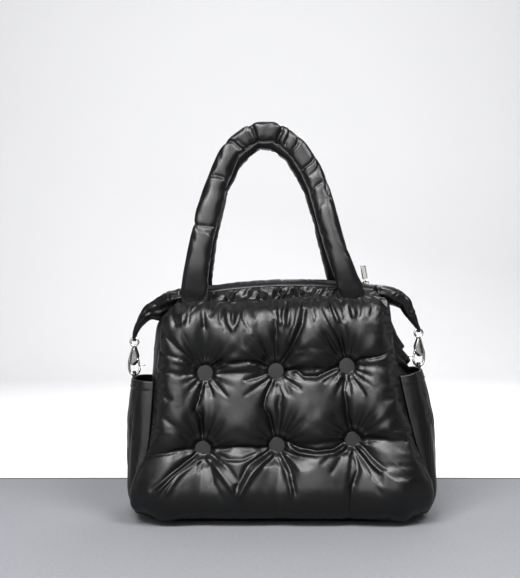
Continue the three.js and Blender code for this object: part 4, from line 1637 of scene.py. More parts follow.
    def _pull(self) -> Piece:
        """Models the pull: a wire link and a framed plate.

        Returns:
            The dressed pull.
        """
        wire, half, height = 0.75, 2.9, 4.6
        link = Bench.start("torus", "pull_link", major_radius=half * MM, minor_radius=wire * MM,
                           major_segments=36, minor_segments=12,
                           rotation=(0, math.pi / 2, 0), location=(0, 0, height / 2 * MM))
        Bench.shift(Matrix.Diagonal((height / 2 / half, 1.0, 1.0, 1)))
        Bench.done()
        Bench.start("cube", "pull_plate", size=1.0)
        Bench.shift(Matrix.Translation((0, 0, 8.5 * MM)) @ Matrix.Diagonal((8.5 * MM, 1.6 * MM, 17 * MM, 1)))
        Bench.pick_edges(lambda edge: abs(edge.verts[0].co.y - edge.verts[1].co.y) > 1e-4)
        bpy.ops.mesh.bevel(offset=1.6 * MM, segments=5, affect="EDGES")
        for sign in (-1, 1):
            Bench.pick(lambda face: face.normal.y * sign > 0.9)
            bpy.ops.mesh.inset(thickness=1.25 * MM, depth=0.0)
            bpy.ops.mesh.inset(thickness=0.25 * MM, depth=-0.45 * MM)
        plate = Bench.done()
        apply_modifier(plate, "BEVEL", width=0.16 * MM, segments=2, limit_method="ANGLE")
        drop_to = Matrix.Translation((0, 0, (height - wire / 2) * MM))
        plate.data.transform(drop_to @ Matrix.Rotation(self.pull_twist, 4, "Z"))
        piece = Bench.join(link, plate)
        piece.name = piece.data.name = "zip_pull_metal"
        lean = Matrix.Translation((0, 0, self.pull_pivot * MM)) @ Matrix.Rotation(self.pull_lean, 4, "Y")
        piece.data.transform(self._slider_place() @ lean)
        return dress(piece, METAL, "zip_pull", body="zip_pull")

    def _stitches(self) -> list[Piece]:
        """Sews both bands along the zip and along their outer edges.

        Returns:
            The dressed rows.
        """
        rows = []
        x = np.linspace(-self.band_end + 14, self.band_end - 14, 160)
        for face in Face:
            for name, y, down, out in (
                ("inner", 8.6, 0.55, (0, -0.3, 1)),
                ("outer", 22.6, 4.1, (0, 0.8, 0.6)),
            ):
                line = np.stack([x, np.full_like(x, face.value * y), BagShape.ridge(x) - down], -1)
                outward = np.tile(np.array(out) * [1, face.value, 1], (len(x), 1))
                rows.append(StitchRow(f"{face.word}_band_{name}_stitches").build(line, outward))
        return rows


@dataclass
class Ear:
    """The folded end of the bands, narrowing to the tip that holds the hook."""

    side: Side
    route: Table
    hook_x: float
    hook_foot: float
    sides: int = 44
    steps: int = 110
    settling: Settling = Settling(frames=10, pressure=0.4, bending=0.6, reach=1.2)

    def build(self) -> Piece:
        """Builds the ear, lets it settle and cuts the slot for the hook's eye.

        Returns:
            The dressed ear.
        """
        places = np.linspace(0, len(self.route.rows) - 1, self.steps + 1)
        read = self.route.along(places)
        centre = np.stack([read["x"], 0 * places, read["z"]], -1)
        along = unit(np.gradient(centre, axis=0))
        across = unit(np.cross(along, [0.0, 1.0, 0.0]))
        deep = np.cross(across, along)
        turn = np.linspace(0, 2 * math.pi, self.sides, endpoint=False)[None, :]
        run = np.concatenate([[0], np.cumsum(np.linalg.norm(np.diff(centre, axis=0), axis=1))])[:, None]
        full = smoothstep(-run, -run[-1, 0] + 6, -run[-1, 0] + 26) * smoothstep(run, 0, 5)
        pleat = 0.12 * np.sin(3 * turn + 0.05 * run) + 0.07 * np.sin(8 * turn + 0.09 * run + 1)
        crumple = 0.045 * ripple(run + 6 * np.cos(turn + 0.6), 17.0)
        crumple = crumple + 0.02 * ripple(run + 3 * np.sin(2 * turn), 7.0, 1.0)
        girth = 1 + (pleat + crumple - 0.06) * full
        squash = np.sign(np.sin(turn)) * np.abs(np.sin(turn)) ** 0.8
        wide_half = read["half"][:, None] * np.cos(turn) * girth
        rings = centre[:, None, :] + across[:, None, :] * wide_half[..., None]
        rings = rings + deep[:, None, :] * (read["depth"][:, None] * squash * girth)[..., None]
        rings[0, :, 0] = centre[0, 0]
        rings[-1, :, 2] = centre[-1, 2]
        piece = make_tube(f"{self.side.word}_ear_cloth", rings)
        held = np.where((run < 6) | (run > run[-1, 0] - 18), 1.0, 0.0) + 0 * turn
        self.settling.relax(piece, held, np.full(held.shape, 0.01))
        foot = self.hook_foot
        low = Vector((self.hook_x - 4, -1.7, foot + 42.3))
        high = Vector((self.hook_x + 4, 1.7, foot + 46.6))
        Bench.cut(piece, Bench.block("eye_slot", low, high, 0.6))
        return dress(piece, SHELL, f"{self.side.word}_ear")


@dataclass
class SnapHook:
    """A swivel snap hook: an eye with its stem, a body with a claw, and a sprung gate."""

    side: Side
    x: float
    rim: float
    above_rim: float = 2.2
    body_block = Table(("x", "z", "half", "depth"), (
        (-3.4, 13.5, 4.3, 2.6), (-0.6, 18, 6.2, 3), (0, 24, 6, 3.2), (0, 29, 4.5, 3.4), (0, 32.65, 3.5, 3.4),
    ))
    claw = Table(("x", "z", "wire"), (
        (-2.6, 24, 1.4), (-5.0, 20.8, 1.6), (-6.2, 17, 1.6), (-6.4, 11, 1.6), (-6.2, 6, 1.6),
        (-4.4, 1.8, 1.6), (0, 0, 1.6), (4.4, 1.8, 1.5),
        (6.2, 5.4, 1.4), (6.4, 8, 1.2),
    ))
    gate = Table(("x", "z", "half"), ((3.9, 20, 1.5), (4.5, 17, 1.7), (5.6, 13, 1.3), (6.3, 9.6, 1.1)))
    eye_profile = ((29.5, 1.0), (29.7, 1.45), (32.7, 1.5), (32.95, 2.9), (33.2, 3.2), (34.15, 3.2),
                   (34.4, 2.9), (34.7, 1.9), (36.2, 1.5))
    rivet_profile = ((-2.7, 0.5), (-2.6, 1.0), (-2.2, 1.25), (-1.2, 1.3), (-1.2, 0.8), (1.2, 0.8), (1.2, 1.3),
                     (2.2, 1.25), (2.6, 1.0), (2.7, 0.5))
    tab_profile = ((0, 0.8), (0.3, 0.7), (0.68, 0.62), (0.76, 0.85), (0.86, 0.95), (0.95, 0.8), (1.0, 0.35))

    def build(self) -> list[Piece]:
        """Models the three metal pieces of the hook.

        Returns:
            The dressed pieces.
        """
        return [self._eye(), self._body(), self._gate()]

    def _place(self, piece: Piece, name: str) -> Piece:
        """Names a piece and puts it on its pocket rim.

        Args:
            piece: The piece, upright over the origin.
            name: Its name without the side.

        Returns:
            The piece.
        """
        piece.name = piece.data.name = f"{self.side.word}_{name}"
        origin = Matrix.Translation(Vector((self.x, 0, self.rim + self.above_rim)) * MM)
        turn = Matrix.Rotation(0 if self.side is Side.LEFT else math.pi, 4, "Z")
        piece.data.transform(origin @ turn)
        return piece

    def _eye(self) -> Piece:
        """Models the eye and its stem.

        Returns:
            The dressed piece.
        """
        ring = Bench.start("torus", "eye_ring", major_radius=4.9 * MM, minor_radius=1.2 * MM,
                           major_segments=48, minor_segments=16, rotation=(math.pi / 2, 0, 0),
                           location=(0, 0, 40 * MM))
        Bench.pick(lambda face: face.calc_center_median().y < -4.2 * MM)
        bpy.ops.transform.resize(value=(1.0, 1.04, 1.15))
        Bench.done()
        stem = Bench.turned("eye_stem", self.eye_profile, 24)
        eye = self._place(Bench.join(ring, stem), "hook_eye_metal")
        return dress(eye, METAL, f"{self.side.word}_hook_eye")

    def _body(self) -> Piece:
        """Models the body with its claw, the gate's slot and the rivet.

        Returns:
            The dressed piece.
        """
        read = self.body_block.along(np.linspace(0, 4, 17))
        measures = zip(*(read[column] for column in ("x", "z", "half", "depth")))
        stations = [(Vector((x, 0, z)), half, depth) for x, z, half, depth in measures]
        first, last = stations[0], stations[-1]
        block = Bench.swept("hook_block", [
            (first[0] - Vector((0.7, 0, 1.3)), first[1] * 0.35, first[2] * 0.35),
            (first[0] - Vector((0.45, 0, 0.85)), first[1] * 0.75, first[2] * 0.7), *stations,
            (last[0] + Vector((0, 0, 0.05)), last[1] * 0.85, last[2] * 0.85),
        ], 28)
        Bench.cut(block, Bench.block("gate_slot", Vector((1, -1.35, 12.7)), Vector((9, 1.35, 21.7)), 0.4))
        Bench.cut(block, Bench.turned("swivel_socket", ((28.8, 1.95), (34, 1.95)), 24))
        read = self.claw.along(np.linspace(0, 9, 55))
        wire = [(Vector((x, 0, z)), r, r) for x, z, r in zip(read["x"], read["z"], read["wire"])]
        tip = wire[-1]
        wire += [(tip[0] + Vector((0, 0, 0.5)), 0.85 * tip[1], 0.85 * tip[2]),
                 (tip[0] + Vector((0, 0, 0.75)), 0.4 * tip[1], 0.4 * tip[2])]
        claw = Bench.swept("hook_claw", wire, 18)
        rivet = Bench.turned("hook_rivet", self.rivet_profile, 20)
        hinge = Matrix.Translation((4.2 * MM, 0, 18.5 * MM))
        rivet.data.transform(hinge @ Matrix.Rotation(math.pi / 2, 4, "X"))
        piece = Bench.join(block, claw, rivet)
        make_active(piece)
        bpy.ops.object.shade_smooth_by_angle(angle=math.radians(35))
        word = self.side.word
        return dress(self._place(piece, "hook_body_metal"), METAL, f"{word}_hook_body", body=f"{word}_hook")

    def _gate(self) -> Piece:
        """Models the sprung gate with its thumb tab.

        Returns:
            The dressed piece.
        """
        read = self.gate.along(np.linspace(0, 3, 13))
        bar = [(Vector((x, 0, z)), half, 1.05) for x, z, half in zip(read["x"], read["z"], read["half"])]
        lever = Bench.swept("gate_lever", bar, 16)
        tab = Bench.swept("gate_tab", [
            (Vector((lerp(5.6, 13.2, t), 0, lerp(12, 11.6, t))), r, r)
            for t, r in self.tab_profile
        ], 14)
        piece = Bench.join(lever, tab)
        word = self.side.word
        return dress(self._place(piece, "hook_gate_metal"), METAL, f"{word}_hook_gate", body=f"{word}_gate")


@dataclass
class HookLoop:
    """A cloth loop across a pocket rim, which the claw is clipped into."""

    side: Side
    x: float
    rim: float
    half: float = 6.6
    rise: float = 5.9
    thick: float = 1.4
    width: float = 3.6
    roundness: float = 0.6

    def build(self) -> Piece:
        """Builds the strap, bent into its arch.

        Returns:
            The dressed loop.
        """
        turn = np.linspace(0, math.pi, 37)
        rise = lerp(BagShape.seat_gap, self.rise, np.sin(turn) ** self.roundness)
        line = np.stack([np.full_like(turn, self.x), -self.half * np.cos(turn), self.rim + rise], -1)
        along = unit(np.gradient(line, axis=0))
        out = np.cross(np.array([1.0, 0.0, 0.0]), along)
        corner = np.linspace(0, 2 * math.pi, 20, endpoint=False)
        wide = np.sign(np.cos(corner)) * np.abs(np.cos(corner)) ** 0.4 * self.width / 2
        deep = np.sign(np.sin(corner)) * np.abs(np.sin(corner)) ** 0.7 * self.thick / 2
        rings = line[:, None, :] + out[:, None, :] * deep[None, :, None]
        rings = rings + np.array([1.0, 0.0, 0.0]) * wide[None, :, None]
        rings[[0, -1], :, 2] = self.rim + BagShape.seat_gap
        piece = make_tube(f"{self.side.word}_hook_loop_cloth", rings)
        return dress(piece, SHELL, f"{self.side.word}_hook_loop")


@dataclass
class Handle:
    """A padded tube handle over the bag, creased where it bends, with a puckered seam along its inside."""

    face: Face
    route: Table
    creases: tuple[Fold, ...]
    tuck_in: float = 3.8
    tuck_down: float = 8.0
    depth_foot: float = 4.0
    depth_full: float = 11.0
    depth_rise: float = 45.0
    lean_foot: float = 46.2
    lean_top: float = 15.0
    low: float = 262.0
    high: float = 465.0
    flatness: float = 0.56
    bend: int = 6
    crease_share: float = 0.85
    seam_at: float = -16.0
    pucker_pitch: float = 14.0
    sides: int = 52
    steps: int = 330
    settling: Settling = Settling(frames=10, pressure=0.5, bending=0.6, reach=1.6)

    def build(self) -> Piece:
        """Builds the handle, presses its creases and lets it settle.

        Returns:
            The dressed handle.
        """
        sign = self.face.value
        rows = np.arange(len(self.route.rows))
        places = np.linspace(0, rows[-1], self.steps + 1)
        columns = np.array(self.route.rows).T
        x, z, half = (soften(np.interp(places, rows, column), self.bend) for column in columns)
        foot = 1 - smoothstep(np.minimum(places, places[-1] - places), 0, 1.1)
        lean = lerp(self.lean_foot, self.lean_top, smoothstep(z, self.low, self.high))
        y = sign * (lean - self.tuck_in * foot)
        depth = lerp(self.depth_foot, self.depth_full, smoothstep(z, self.low, self.low + self.depth_rise))
        centre = np.stack([x, y, z - self.tuck_down * foot], -1)
        along = unit(np.gradient(centre, axis=0))
        across = unit(np.cross(along, [0.0, 1.0, 0.0]))
        deep = np.cross(across, along)
        turn = np.linspace(-math.pi, math.pi, self.sides, endpoint=False)[None, :]
        girth = float(np.pi * (half.mean() + depth.mean()))
        run = np.concatenate([[0], np.cumsum(np.linalg.norm(np.diff(centre, axis=0), axis=1))])
        around = turn / (2 * math.pi) * girth + 0 * run[:, None]
        along_mm = run[:, None] + 0 * turn
        row_run = np.interp(rows, places, run)
        creases = tuple(
            Fold(
                self.crease_share * c.depth * (1.0 if c.depth > 0 else 0.5),
                0.7 * c.width,
                tuple((w, float(np.interp(r, rows, row_run))) for w, r in c.path),
            )
            for c in self.creases
        )
        pressed = Creases.of(creases, around, along_mm, girth)
        from_seam = np.abs((around - self.seam_at + girth / 2) % girth - girth / 2)
        ends = smoothstep(np.minimum(run, run[-1] - run), 0, 14)[:, None]
        seam = 0.9 * np.exp(-((from_seam / 0.9) ** 2)) - 0.7 * np.exp(-((from_seam / 3.0) ** 2))
        pucker = 0.4 * ripple(along_mm, self.pucker_pitch) * np.exp(-((from_seam / 5.0) ** 2))
        soft = 0.35 * ripple(along_mm + 0.7 * around, 47.0, 0.5) + 0.2 * ripple(along_mm - 1.1 * around, 23.0)
        rise = pressed.rise * (0.6 + 0.4 * ends) + (seam + pucker + soft) * ends
        radial = across[:, None, :] * np.sin(turn)[..., None]
        radial = radial + sign * deep[:, None, :] * np.cos(turn)[..., None]
        wide = np.sign(np.sin(turn)) * np.abs(np.sin(turn)) ** self.flatness
        thick = np.sign(np.cos(turn)) * np.abs(np.cos(turn)) ** self.flatness
        rings = centre[:, None, :] + across[:, None, :] * (half[:, None] * wide)[..., None]
        rings = rings + sign * deep[:, None, :] * (depth[:, None] * thick)[..., None]
        rings = rings + radial * rise[..., None]
        rings[[0, -1], :, 2] = centre[[0, -1], None, 2]
        piece = make_tube(f"{self.face.word}_handle_cover", rings)
        held = np.where(ends < 0.9, 1.0, np.where(pressed.line < 1.0, 0.1, 0.0)) + 0 * turn
        self.settling.relax(piece, held, np.full(held.shape, 0.004))
        subdivide(piece)
        return dress(piece, SHELL, f"{self.face.word}_handle")


@dataclass
class BasePanel:
    """The flat stiffened bottom of the bag, with a rounded lower edge."""

    corner: float = 34.0
    edge: float = 5.0
    tuck: tuple[float, float, float] = (16.0, 4.0, 0.0)

    def build(self) -> Piece:
        """Models the base where its solid is.

        Returns:
            The dressed base.
        """
        low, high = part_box("base_panel")
        low, high = low + Vector(self.tuck) * MM, high - Vector(self.tuck) * MM
        piece = Bench.start("cube", "base_panel_cover", size=1.0)
        Bench.shift(Matrix.Translation((low + high) / 2) @ Matrix.Diagonal((*(high - low), 1)))
        Bench.pick_edges(lambda edge: abs(edge.verts[0].co.z - edge.verts[1].co.z) > 1e-4)
        bpy.ops.mesh.bevel(offset=self.corner * MM, segments=10, affect="EDGES")
        Bench.pick_edges(lambda edge: max(vertex.co.z for vertex in edge.verts) < low.z + 1e-5)
        bpy.ops.mesh.bevel(offset=self.edge * MM, segments=4, affect="EDGES")
        Bench.pick(lambda face: face.normal.z < -0.99)
        bpy.ops.mesh.inset(thickness=14 * MM, depth=0.0)
        bpy.ops.mesh.inset(thickness=1.2 * MM, depth=-0.5 * MM)
        Bench.done()
        return dress(piece, SHELL, "base_panel")


@dataclass(frozen=True)
class AreaLamp:
    """A soft rectangular lamp."""

    name: str
    place: tuple[float, float, float]
    target: tuple[float, float, float]
    size: tuple[float, float]
    power: float

    def hang(self) -> None:
        """Puts the lamp in the studio."""
        light = bpy.data.lights.new(self.name, "AREA")
        light.shape = "RECTANGLE"
        light.size, light.size_y = self.size
        light.energy = self.power
        lamp = bpy.data.objects.new(self.name, light)
        bpy.context.scene.collection.objects.link(lamp)
        lamp.location = self.place
        aim = Vector(self.target) - Vector(self.place)
        lamp.rotation_euler = aim.to_track_quat("-Z", "Y").to_euler()


@dataclass
class Studio:
    """A plain pale floor, a white backdrop, soft lamps and the camera."""

    lamps: tuple[AreaLamp, ...] = (
        AreaLamp("key", (-0.5, -1.25, 1.6), (0, -0.05, 0.2), (1.1, 0.8), 60),
        AreaLamp("front", (-0.5, -2.4, 0.8), (0, 0, 0.25), (2.4, 1.3), 42),
        AreaLamp("rear", (0.5, 1.7, 1.5), (0, 0, 0.2), (1.0, 0.6), 12),
        AreaLamp("fill", (0.75, -1.0, 1.6), (0, 0, 0.2), (0.8, 0.6), 34),
        AreaLamp("left card", (-1.5, -0.1, 0.5), (0, 0, 0.2), (0.7, 0.8), 2),
        AreaLamp("right card", (1.5, 0.05, 0.45), (0, 0, 0.25), (0.7, 0.7), 2),
        AreaLamp("backdrop", (0, 1.0, 2.6), (0, 1.9, 0), (3.6, 0.8), 25),
    )
    floor: Ground = Ground("studio floor", "", (0.23, 0.235, 0.25), 0.25)
    paper: Ground = Ground("studio paper", "", (0.78, 0.78, 0.79))
    paper_start: float = 0.22
    paper_wall: float = 2.6
    paper_bend: float = 0.8
    haze: float = 0.05
    contrast: float = 0.82
    eye: tuple[float, float, float] = (-0.0257, -1.25, 0.273)
    focal_pixels: float = 1020.0
    image_height: float = 578.0
    sensor: float = 24.0

    def build(self) -> None:
        """Builds the floor, the backdrop, the lamps and the camera."""
        self._ground()
        for lamp in self.lamps:
            lamp.hang()
        world = bpy.data.worlds.new("studio")
        world.use_nodes = True
        world.node_tree.nodes["Background"].inputs["Color"].default_value = (1, 1, 1, 1)
        world.node_tree.nodes["Background"].inputs["Strength"].default_value = self.haze
        scene = bpy.context.scene
        scene.world = world
        scene.view_settings.view_transform = "Standard"
        scene.view_settings.gamma = self.contrast
        lens = bpy.data.cameras.new("camera")
        lens.sensor_fit = "VERTICAL"
        lens.sensor_height = self.sensor
        lens.lens = self.focal_pixels / self.image_height * self.sensor
        camera = bpy.data.objects.new("camera", lens)
        scene.collection.objects.link(camera)
        camera.location = self.eye
        camera.rotation_euler = (math.pi / 2, 0, 0)
        scene.camera = camera

    def _ground(self) -> None:
        """Models the floor and the curved backdrop behind it."""
        start, wall = self.paper_start, self.paper_wall
        floor = Bench.start("plane", "floor", size=12.0)
        bpy.ops.mesh.subdivide(number_cuts=3)
        Bench.done()
        floor.data.materials.append(self.floor.material())
        backdrop = Bench.start("plane", "backdrop", size=2.0)
        floor_size = Matrix.Diagonal((5, (wall - start) / 2, 1, 1))
        Bench.shift(Matrix.Translation((0, (start + wall) / 2, 0.001)) @ floor_size)
        Bench.pick_edges(lambda edge: min(vertex.co.y for vertex in edge.verts) > wall - 0.01)
        bpy.ops.mesh.extrude_region_move(TRANSFORM_OT_translate={"value": (0, 0, 4.0)})
        Bench.pick_edges(lambda edge: all(v.co.z < 0.01 and v.co.y > wall - 0.01 for v in edge.verts))
        bpy.ops.mesh.bevel(offset=self.paper_bend, segments=16, affect="EDGES")
        Bench.done(60)
        backdrop.data.materials.append(self.paper.material())


BUTTON_PLACES = (
    ("upper_left", -90, 175), ("upper_middle", -7, 177), ("upper_right", 76, 183),
    ("lower_left", -92, 88), ("lower_middle", -6, 91.5), ("lower_right", 82, 98),
)
FRONT_FOLDS = folds(
    (6, 4, [(-137, 228), (-121, 204), (-99, 185)]),
    (5, 4, [(-140, 200), (-117, 190.5), (-99, 181)]),
    (7, 3.5, [(-81, 183), (-70, 187.5), (-57, 187), (-39, 188.5), (-19, 182)]),
    (6, 3, [(-91.5, 164), (-96.5, 144.5), (-101.5, 132)]),
    (6, 3, [(-100.5, 133), (-94.5, 124.5), (-92, 102)]),
    (3, 3, [(-82, 169), (-65, 149.5)]),
    (3, 3, [(-86.5, 165), (-81, 151)]),
    (4.5, 4, [(-43, 234), (-32, 214), (-17, 187)]),
    (-3.5, 4, [(-37, 222), (-22, 196)]),
    (-4, 5, [(-64, 254), (-61, 232), (-57, 226)]),
    (-4, 4, [(-48, 254), (-53, 232), (-57, 226)]),
    (4, 3, [(-56, 254), (-58, 236)]),
    (4, 3, [(-103, 245), (-91, 257)]),
    (3.5, 3, [(-81, 243), (-78, 255)]),
    (4, 3, [(-10, 243), (-16, 257)]),
    (4, 3, [(0, 238), (7, 260)]),
    (3, 3, [(-118, 246), (-112, 257)]),
    (3, 3, [(-34, 246), (-36, 257)]),
    (3, 4, [(-144, 160), (-131, 145)]),
    (7, 4, [(0, 187), (13, 207), (23.5, 231), (26, 246)]),
    (-4, 4, [(8, 211), (16.5, 231), (21, 256)]),
    (-4, 4, [(-4.5, 258), (-2, 233)]),
    (-4, 4, [(9.5, 257), (7, 232)]),
    (5, 4, [(49, 248), (58.5, 228.5), (67, 214), (73, 194)]),
    (-4, 4, [(56, 260), (64.5, 236)]),
    (4, 4, [(51.5, 219), (66, 193)]),
    (2.5, 4, [(18, 201.5), (33, 205), (50, 204)]),
    (1.5, 3, [(10.5, 193.5), (24, 197)]),
    (8, 3.5, [(2, 176), (17.5, 178), (26, 171), (40, 171), (56, 178), (66, 182)]),
    (4, 3, [(40, 180.5), (55, 178)]),
    (6, 4, [(85, 184), (92.5, 190), (113.5, 195), (127, 201.5)]),
    (7, 3.5, [(75, 172), (72, 155), (74, 139.5), (76, 123), (80, 108)]),
    (3, 3.5, [(83, 169), (96, 151)]),
    (2.5, 3, [(88, 172), (108, 158)]),
    (7, 3.5, [(-11, 167), (-18.5, 151), (-22, 137), (-15, 126), (-9, 102)]),
    (2.5, 3, [(-2, 165), (6, 151)]),
    (2.5, 3, [(2, 168), (20, 158)]),
    (3, 3.5, [(49, 165), (65, 177)]),
    (3, 3.5, [(-41, 167), (-17, 174.5)]),
    (2.5, 3.5, [(-43, 150), (-16, 168)]),
    (4.5, 4, [(-133, 123), (-109, 98.5), (-100, 93)]),
    (2.5, 3, [(-71, 92), (-55, 96)]),
    (4, 4, [(-82, 86), (-62, 75), (-46, 74), (-16, 89)]),
    (6, 4, [(-82, 80), (-62, 65), (-52, 52)]),
    (-5, 4, [(-85, 77), (-67, 56), (-56, 42)]),
    (6, 4, [(-15, 84), (-39.5, 67.5), (-52, 44)]),
    (-5, 4, [(-12, 82), (-36, 58), (-49, 37)]),
    (-5, 4, [(-97, 79), (-121.5, 60), (-140, 42.5)]),
    (5, 4, [(-101, 81), (-127, 62), (-145, 43)]),
    (-3, 4, [(-93, 77), (-117, 58), (-128, 41)]),
    (5, 4, [(-104, 88), (-123, 86), (-145, 81), (-159, 68.5), (-163, 54)]),
    (3, 3.5, [(-82, 74), (-78, 49), (-69.5, 36)]),
    (6, 3.5, [(-2, 82), (8.5, 61.5), (12.5, 40)]),
    (-4, 3.5, [(-4, 80), (4, 61), (10, 38)]),
    (2.5, 3.5, [(6, 50), (4.5, 27), (6, 15)]),
    (8, 4, [(4, 96), (18, 89), (37.5, 86), (59, 87), (70, 94)]),
    (-5, 3, [(6, 93), (18, 84), (37.5, 80.5), (59, 81.5), (70, 89)]),
    (5, 3.5, [(90, 93), (103.5, 77), (115, 68)]),
    (-4, 3.5, [(88, 90), (100, 73), (110, 64)]),
    (6, 3.5, [(84, 88), (86, 61.5), (78.5, 45.5), (78, 34), (76, 17)]),
    (3, 3.5, [(76, 90), (56, 61.5)]),
    (2.5, 3, [(56, 80), (45, 70.5)]),
    (3, 3.5, [(80, 82), (76, 51)]),
    (3, 3.5, [(94, 80), (102, 55)]),
    (4, 4, [(92, 99), (118, 100)]),
    (2.5, 3, [(43, 85), (67, 97)]),
    (5, 3.5, [(-128, 250), (-122, 230)]),
    (4.5, 3.5, [(-106, 254), (-109, 232)]),
    (-4, 5, [(-113, 254), (-115, 234)]),
    (5, 3.5, [(-94, 256), (-90, 228)]),
    (4, 3.5, [(-70, 255), (-73, 236)]),
    (4.5, 3.5, [(34, 259), (37, 238)]),
    (5, 3.5, [(70, 262), (73, 238)]),
    (-4, 5, [(80, 262), (83, 242)]),
    (4.5, 3.5, [(92, 262), (89, 240)]),
    (4.5, 3.5, [(108, 262), (103, 242)]),
    (4, 3.5, [(120, 256), (114, 240)]),
    share=0.75, spread=0.7,
)
BACK_FOLDS = folds(
    (4, 5, [(-112, 250), (-96, 214), (-70, 186)]),
    (3.5, 5, [(-62, 254), (-54, 222)]),
    (-3, 5, [(-22, 254), (-18, 226)]),
    (3.5, 5, [(8, 256), (12, 222), (4, 196)]),
    (-3, 5, [(44, 258), (38, 230)]),
    (4, 5, [(96, 256), (84, 222), (60, 192)]),
    (3, 6, [(-138, 150), (-104, 138), (-72, 140)]),
    (3, 6, [(130, 144), (98, 128), (62, 132)]),
    (3.5, 6, [(-150, 60), (-112, 78), (-76, 78)]),
    (3, 6, [(150, 56), (116, 74), (86, 72)]),
    (-2.5, 6, [(-30, 30), (-24, 70), (-30, 96)]),
    (2.5, 6, [(30, 26), (36, 62), (26, 92)]),
)
LEFT_GUSSET_FOLDS = folds(
    (2.5, 4, [(-34, 240), (-22, 210), (-16, 182)]),
    (2, 4, [(-10, 236), (-4, 206)]),
    (-1.5, 4, [(-28, 226), (-18, 200)]),
    (2.5, 4, [(30, 238), (18, 206), (12, 184)]),
    (-1.5, 4, [(22, 224), (10, 196)]),
)
RIGHT_GUSSET_FOLDS = folds(
    (5, 3.0, [(-38, 240), (-28, 222), (-16, 212), (0, 208)]),
    (-4, 3.5, [(-38, 231), (-26, 214), (-12, 204)]),
    (5.5, 2.6, [(-38, 220), (-24, 203), (-8, 195), (8, 190)]),
    (-4.5, 3.2, [(-38, 210), (-22, 194), (-6, 186)]),
    (5, 2.6, [(-38, 200), (-22, 184), (-6, 178)]),
    (-4, 3.0, [(-38, 191), (-20, 177)]),
    (4, 2.4, [(-38, 183), (-24, 172)]),
    (3, 3.5, [(36, 230), (20, 206), (8, 196)]),
    (3, 3.5, [(36, 204), (18, 188), (6, 178)]),
)
POCKET_FOLDS = {
    Side.LEFT: folds((1.6, 5, [(-46, 120), (-40, 80), (-44, 40)]), (1.2, 5, [(-22, 100), (-26, 40)]),
                     (1.2, 5, [(30, 110), (36, 50)]), (1.0, 4, [(-58, 96), (-40, 90)])),
    Side.RIGHT: folds((1.6, 5, [(46, 120), (40, 80), (44, 40)]), (1.6, 4, [(-44, 150), (-30, 136)]),
                      (1.4, 4, [(-50, 126), (-34, 110)]), (1.2, 5, [(-24, 90), (-28, 36)])),
}
EAR_ROUTES = {
    Side.LEFT: Table(("x", "z", "half", "depth"), (
        (-116, 264.5, 10.5, 26), (-134, 257, 14, 21), (-149, 248.5, 13.0, 15), (-161.5, 243.5, 8.8, 12),
        (-171, 233, 5.2, 9), (-177.4, 222, 3.6, 5.5), (-179.6, 214, 2.5, 3.1), (-179.6, 209.2, 2.2, 2.9),
    )),
    Side.RIGHT: Table(("x", "z", "half", "depth"), (
        (116, 268.3, 10.6, 26), (136, 263.3, 10.4, 20), (148, 256.5, 9.0, 15), (155, 247, 6.9, 12),
        (161.8, 236, 5.0, 9), (166, 228.5, 3.2, 5.5), (168.3, 224.5, 2.5, 3.1), (168.6, 220.2, 2.2, 2.9),
    )),
}
HOOK_X = {Side.LEFT: -179.6, Side.RIGHT: 168.6}
RIM_MIDDLE = {Side.LEFT: 166.0, Side.RIGHT: 177.0}
RIM_SEAM = {Side.LEFT: 164.0, Side.RIGHT: 171.0}
CLAW_ABOVE_RIM = 2.2
HANDLE_ROUTES = {
    Face.FRONT: Table(("x", "z", "half"), (
        (-102, 261.5, 18.0), (-102, 272, 16.8), (-101.5, 290, 14.6), (-97, 320, 13.8), (-88, 362, 14.8),
        (-76, 404, 12.9), (-61, 440, 12.5), (-33, 461, 12.5), (-7, 462.5, 12.5), (19, 442, 12.5),
        (34, 420, 12.5), (45, 394, 12.5), (52, 366, 12.5), (65, 318, 12.5), (76, 288, 13.2),
        (80, 275, 15.5), (81.5, 266, 16.5),
    )),
    Face.BACK: Table(("x", "z", "half"), (
        (-100, 261.5, 16.5), (-100, 272, 15.5), (-99, 290, 13.2), (-95, 320, 12.5), (-87, 358, 12.5),
        (-78, 396, 12.5), (-58, 434, 12.5), (-30, 458, 12.5), (-8, 457, 12.5), (15, 440, 12.5),
        (30, 418, 12.5), (41, 396, 12.5), (52, 362, 12.5), (64, 316, 12.5), (72, 288, 13.2),
        (75, 275, 15.5), (76, 266, 16.5),
    )),
}
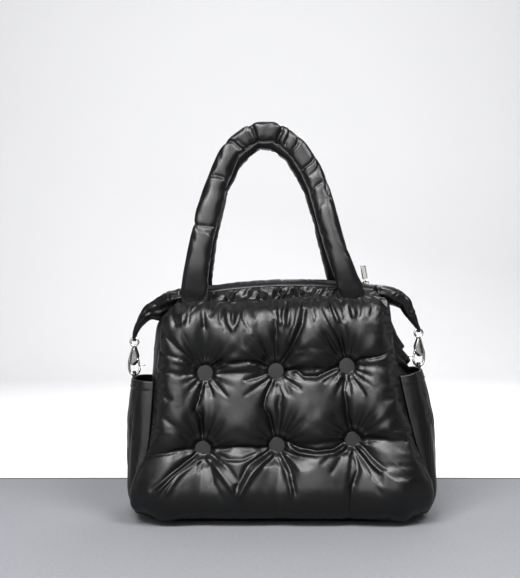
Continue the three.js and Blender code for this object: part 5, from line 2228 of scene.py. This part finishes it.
HANDLE_FOLDS = folds(
    (3.0, 2.0, [(9, 4.96), (-2, 5.06), (-12, 5.03)]),
    (-1.2, 2.0, [(10, 4.88), (-8, 4.97)]),
    (3.6, 2.2, [(18, 3.64), (4, 3.56), (-14, 3.68)]),
    (2.0, 2.0, [(8, 3.58), (-2, 3.44), (-8, 3.36)]),
    (1.8, 2.0, [(-4, 3.60), (-15, 3.42)]),
    (-1.3, 2.4, [(10, 3.47), (2, 3.36)]),
    (5.0, 2.6, [(17, 6.02), (4, 6.22), (-16, 6.45)]),
    (-2.0, 2.4, [(12, 6.2), (-8, 6.42)]),
    (3.0, 2.2, [(2, 6.35), (-16, 6.62)]),
    (5.5, 2.4, [(18, 6.98), (0, 7.04), (-17, 7.1)]),
    (-2.0, 2.6, [(10, 6.85), (-12, 6.82)]),
    (2.5, 2.2, [(6, 6.86), (-10, 6.7)]),
    (5.5, 2.4, [(17, 8.02), (0, 8.2), (-17, 8.42)]),
    (2.5, 2.2, [(12, 8.35), (-4, 8.6)]),
    (-1.8, 2.2, [(14, 8.25), (-8, 8.5)]),
    (3.0, 2.2, [(14, 8.75), (0, 8.95), (-10, 9.0)]),
    (-1.5, 2.0, [(12, 8.9), (-4, 9.1)]),
    (3.0, 2.2, [(12, 9.75), (2, 9.95), (-8, 10.05)]),
    (2.2, 2.0, [(8, 10.2), (-2, 10.45)]),
    (-1.4, 2.0, [(10, 9.9), (-4, 10.15)]),
    (4.5, 2.4, [(14, 10.85), (7, 11.2), (10, 11.6)]),
    (2.5, 2.2, [(2, 10.9), (-8, 11.2)]),
    (-1.8, 2.2, [(12, 11.35), (2, 11.75)]),
    (1.5, 2.0, [(4, 11.6), (-8, 12.1)]),
    (2.5, 2.0, [(-6, 0.6), (-14, 1.3)]),
    (2.0, 2.0, [(-2, 0.3), (-12, 1.0)]),
    (1.5, 2.0, [(8, 0.4), (14, 0.9)]),
    (1.8, 2.0, [(-6, 15.6), (-14, 14.9)]),
    (1.5, 2.0, [(6, 15.7), (13, 15.2)]),
)


def main() -> None:
    """Builds the studio and every piece of the bag."""
    logging.basicConfig(level=logging.INFO, format="%(message)s")
    Studio().build()
    BasePanel().build()
    PaddedPanel(Face.FRONT, FRONT_FOLDS, BUTTON_PLACES).build()
    calm = Settling(frames=20, pressure=0.12, bending=0.3, reach=5.0)
    PaddedPanel(Face.BACK, BACK_FOLDS, columns=120, rows=92, puff=32.0, settling=calm).build()
    for place, _, _ in BUTTON_PLACES:
        CoveredButton(f"button_{place}").build()
    for face in Face:
        Facing(face).build()
        Handle(face, HANDLE_ROUTES[face], HANDLE_FOLDS).build()
    ZipTop().build()
    Gusset(Side.LEFT, LEFT_GUSSET_FOLDS).build()
    Gusset(Side.RIGHT, RIGHT_GUSSET_FOLDS).build()
    for side in Side:
        foot = RIM_MIDDLE[side] + CLAW_ABOVE_RIM
        Pocket(side, RIM_MIDDLE[side], RIM_SEAM[side], POCKET_FOLDS[side]).build()
        Ear(side, EAR_ROUTES[side], HOOK_X[side], foot).build()
        HookLoop(side, HOOK_X[side], RIM_MIDDLE[side]).build()
        SnapHook(side, HOOK_X[side], RIM_MIDDLE[side]).build()


if __name__ == "__main__":
    main()
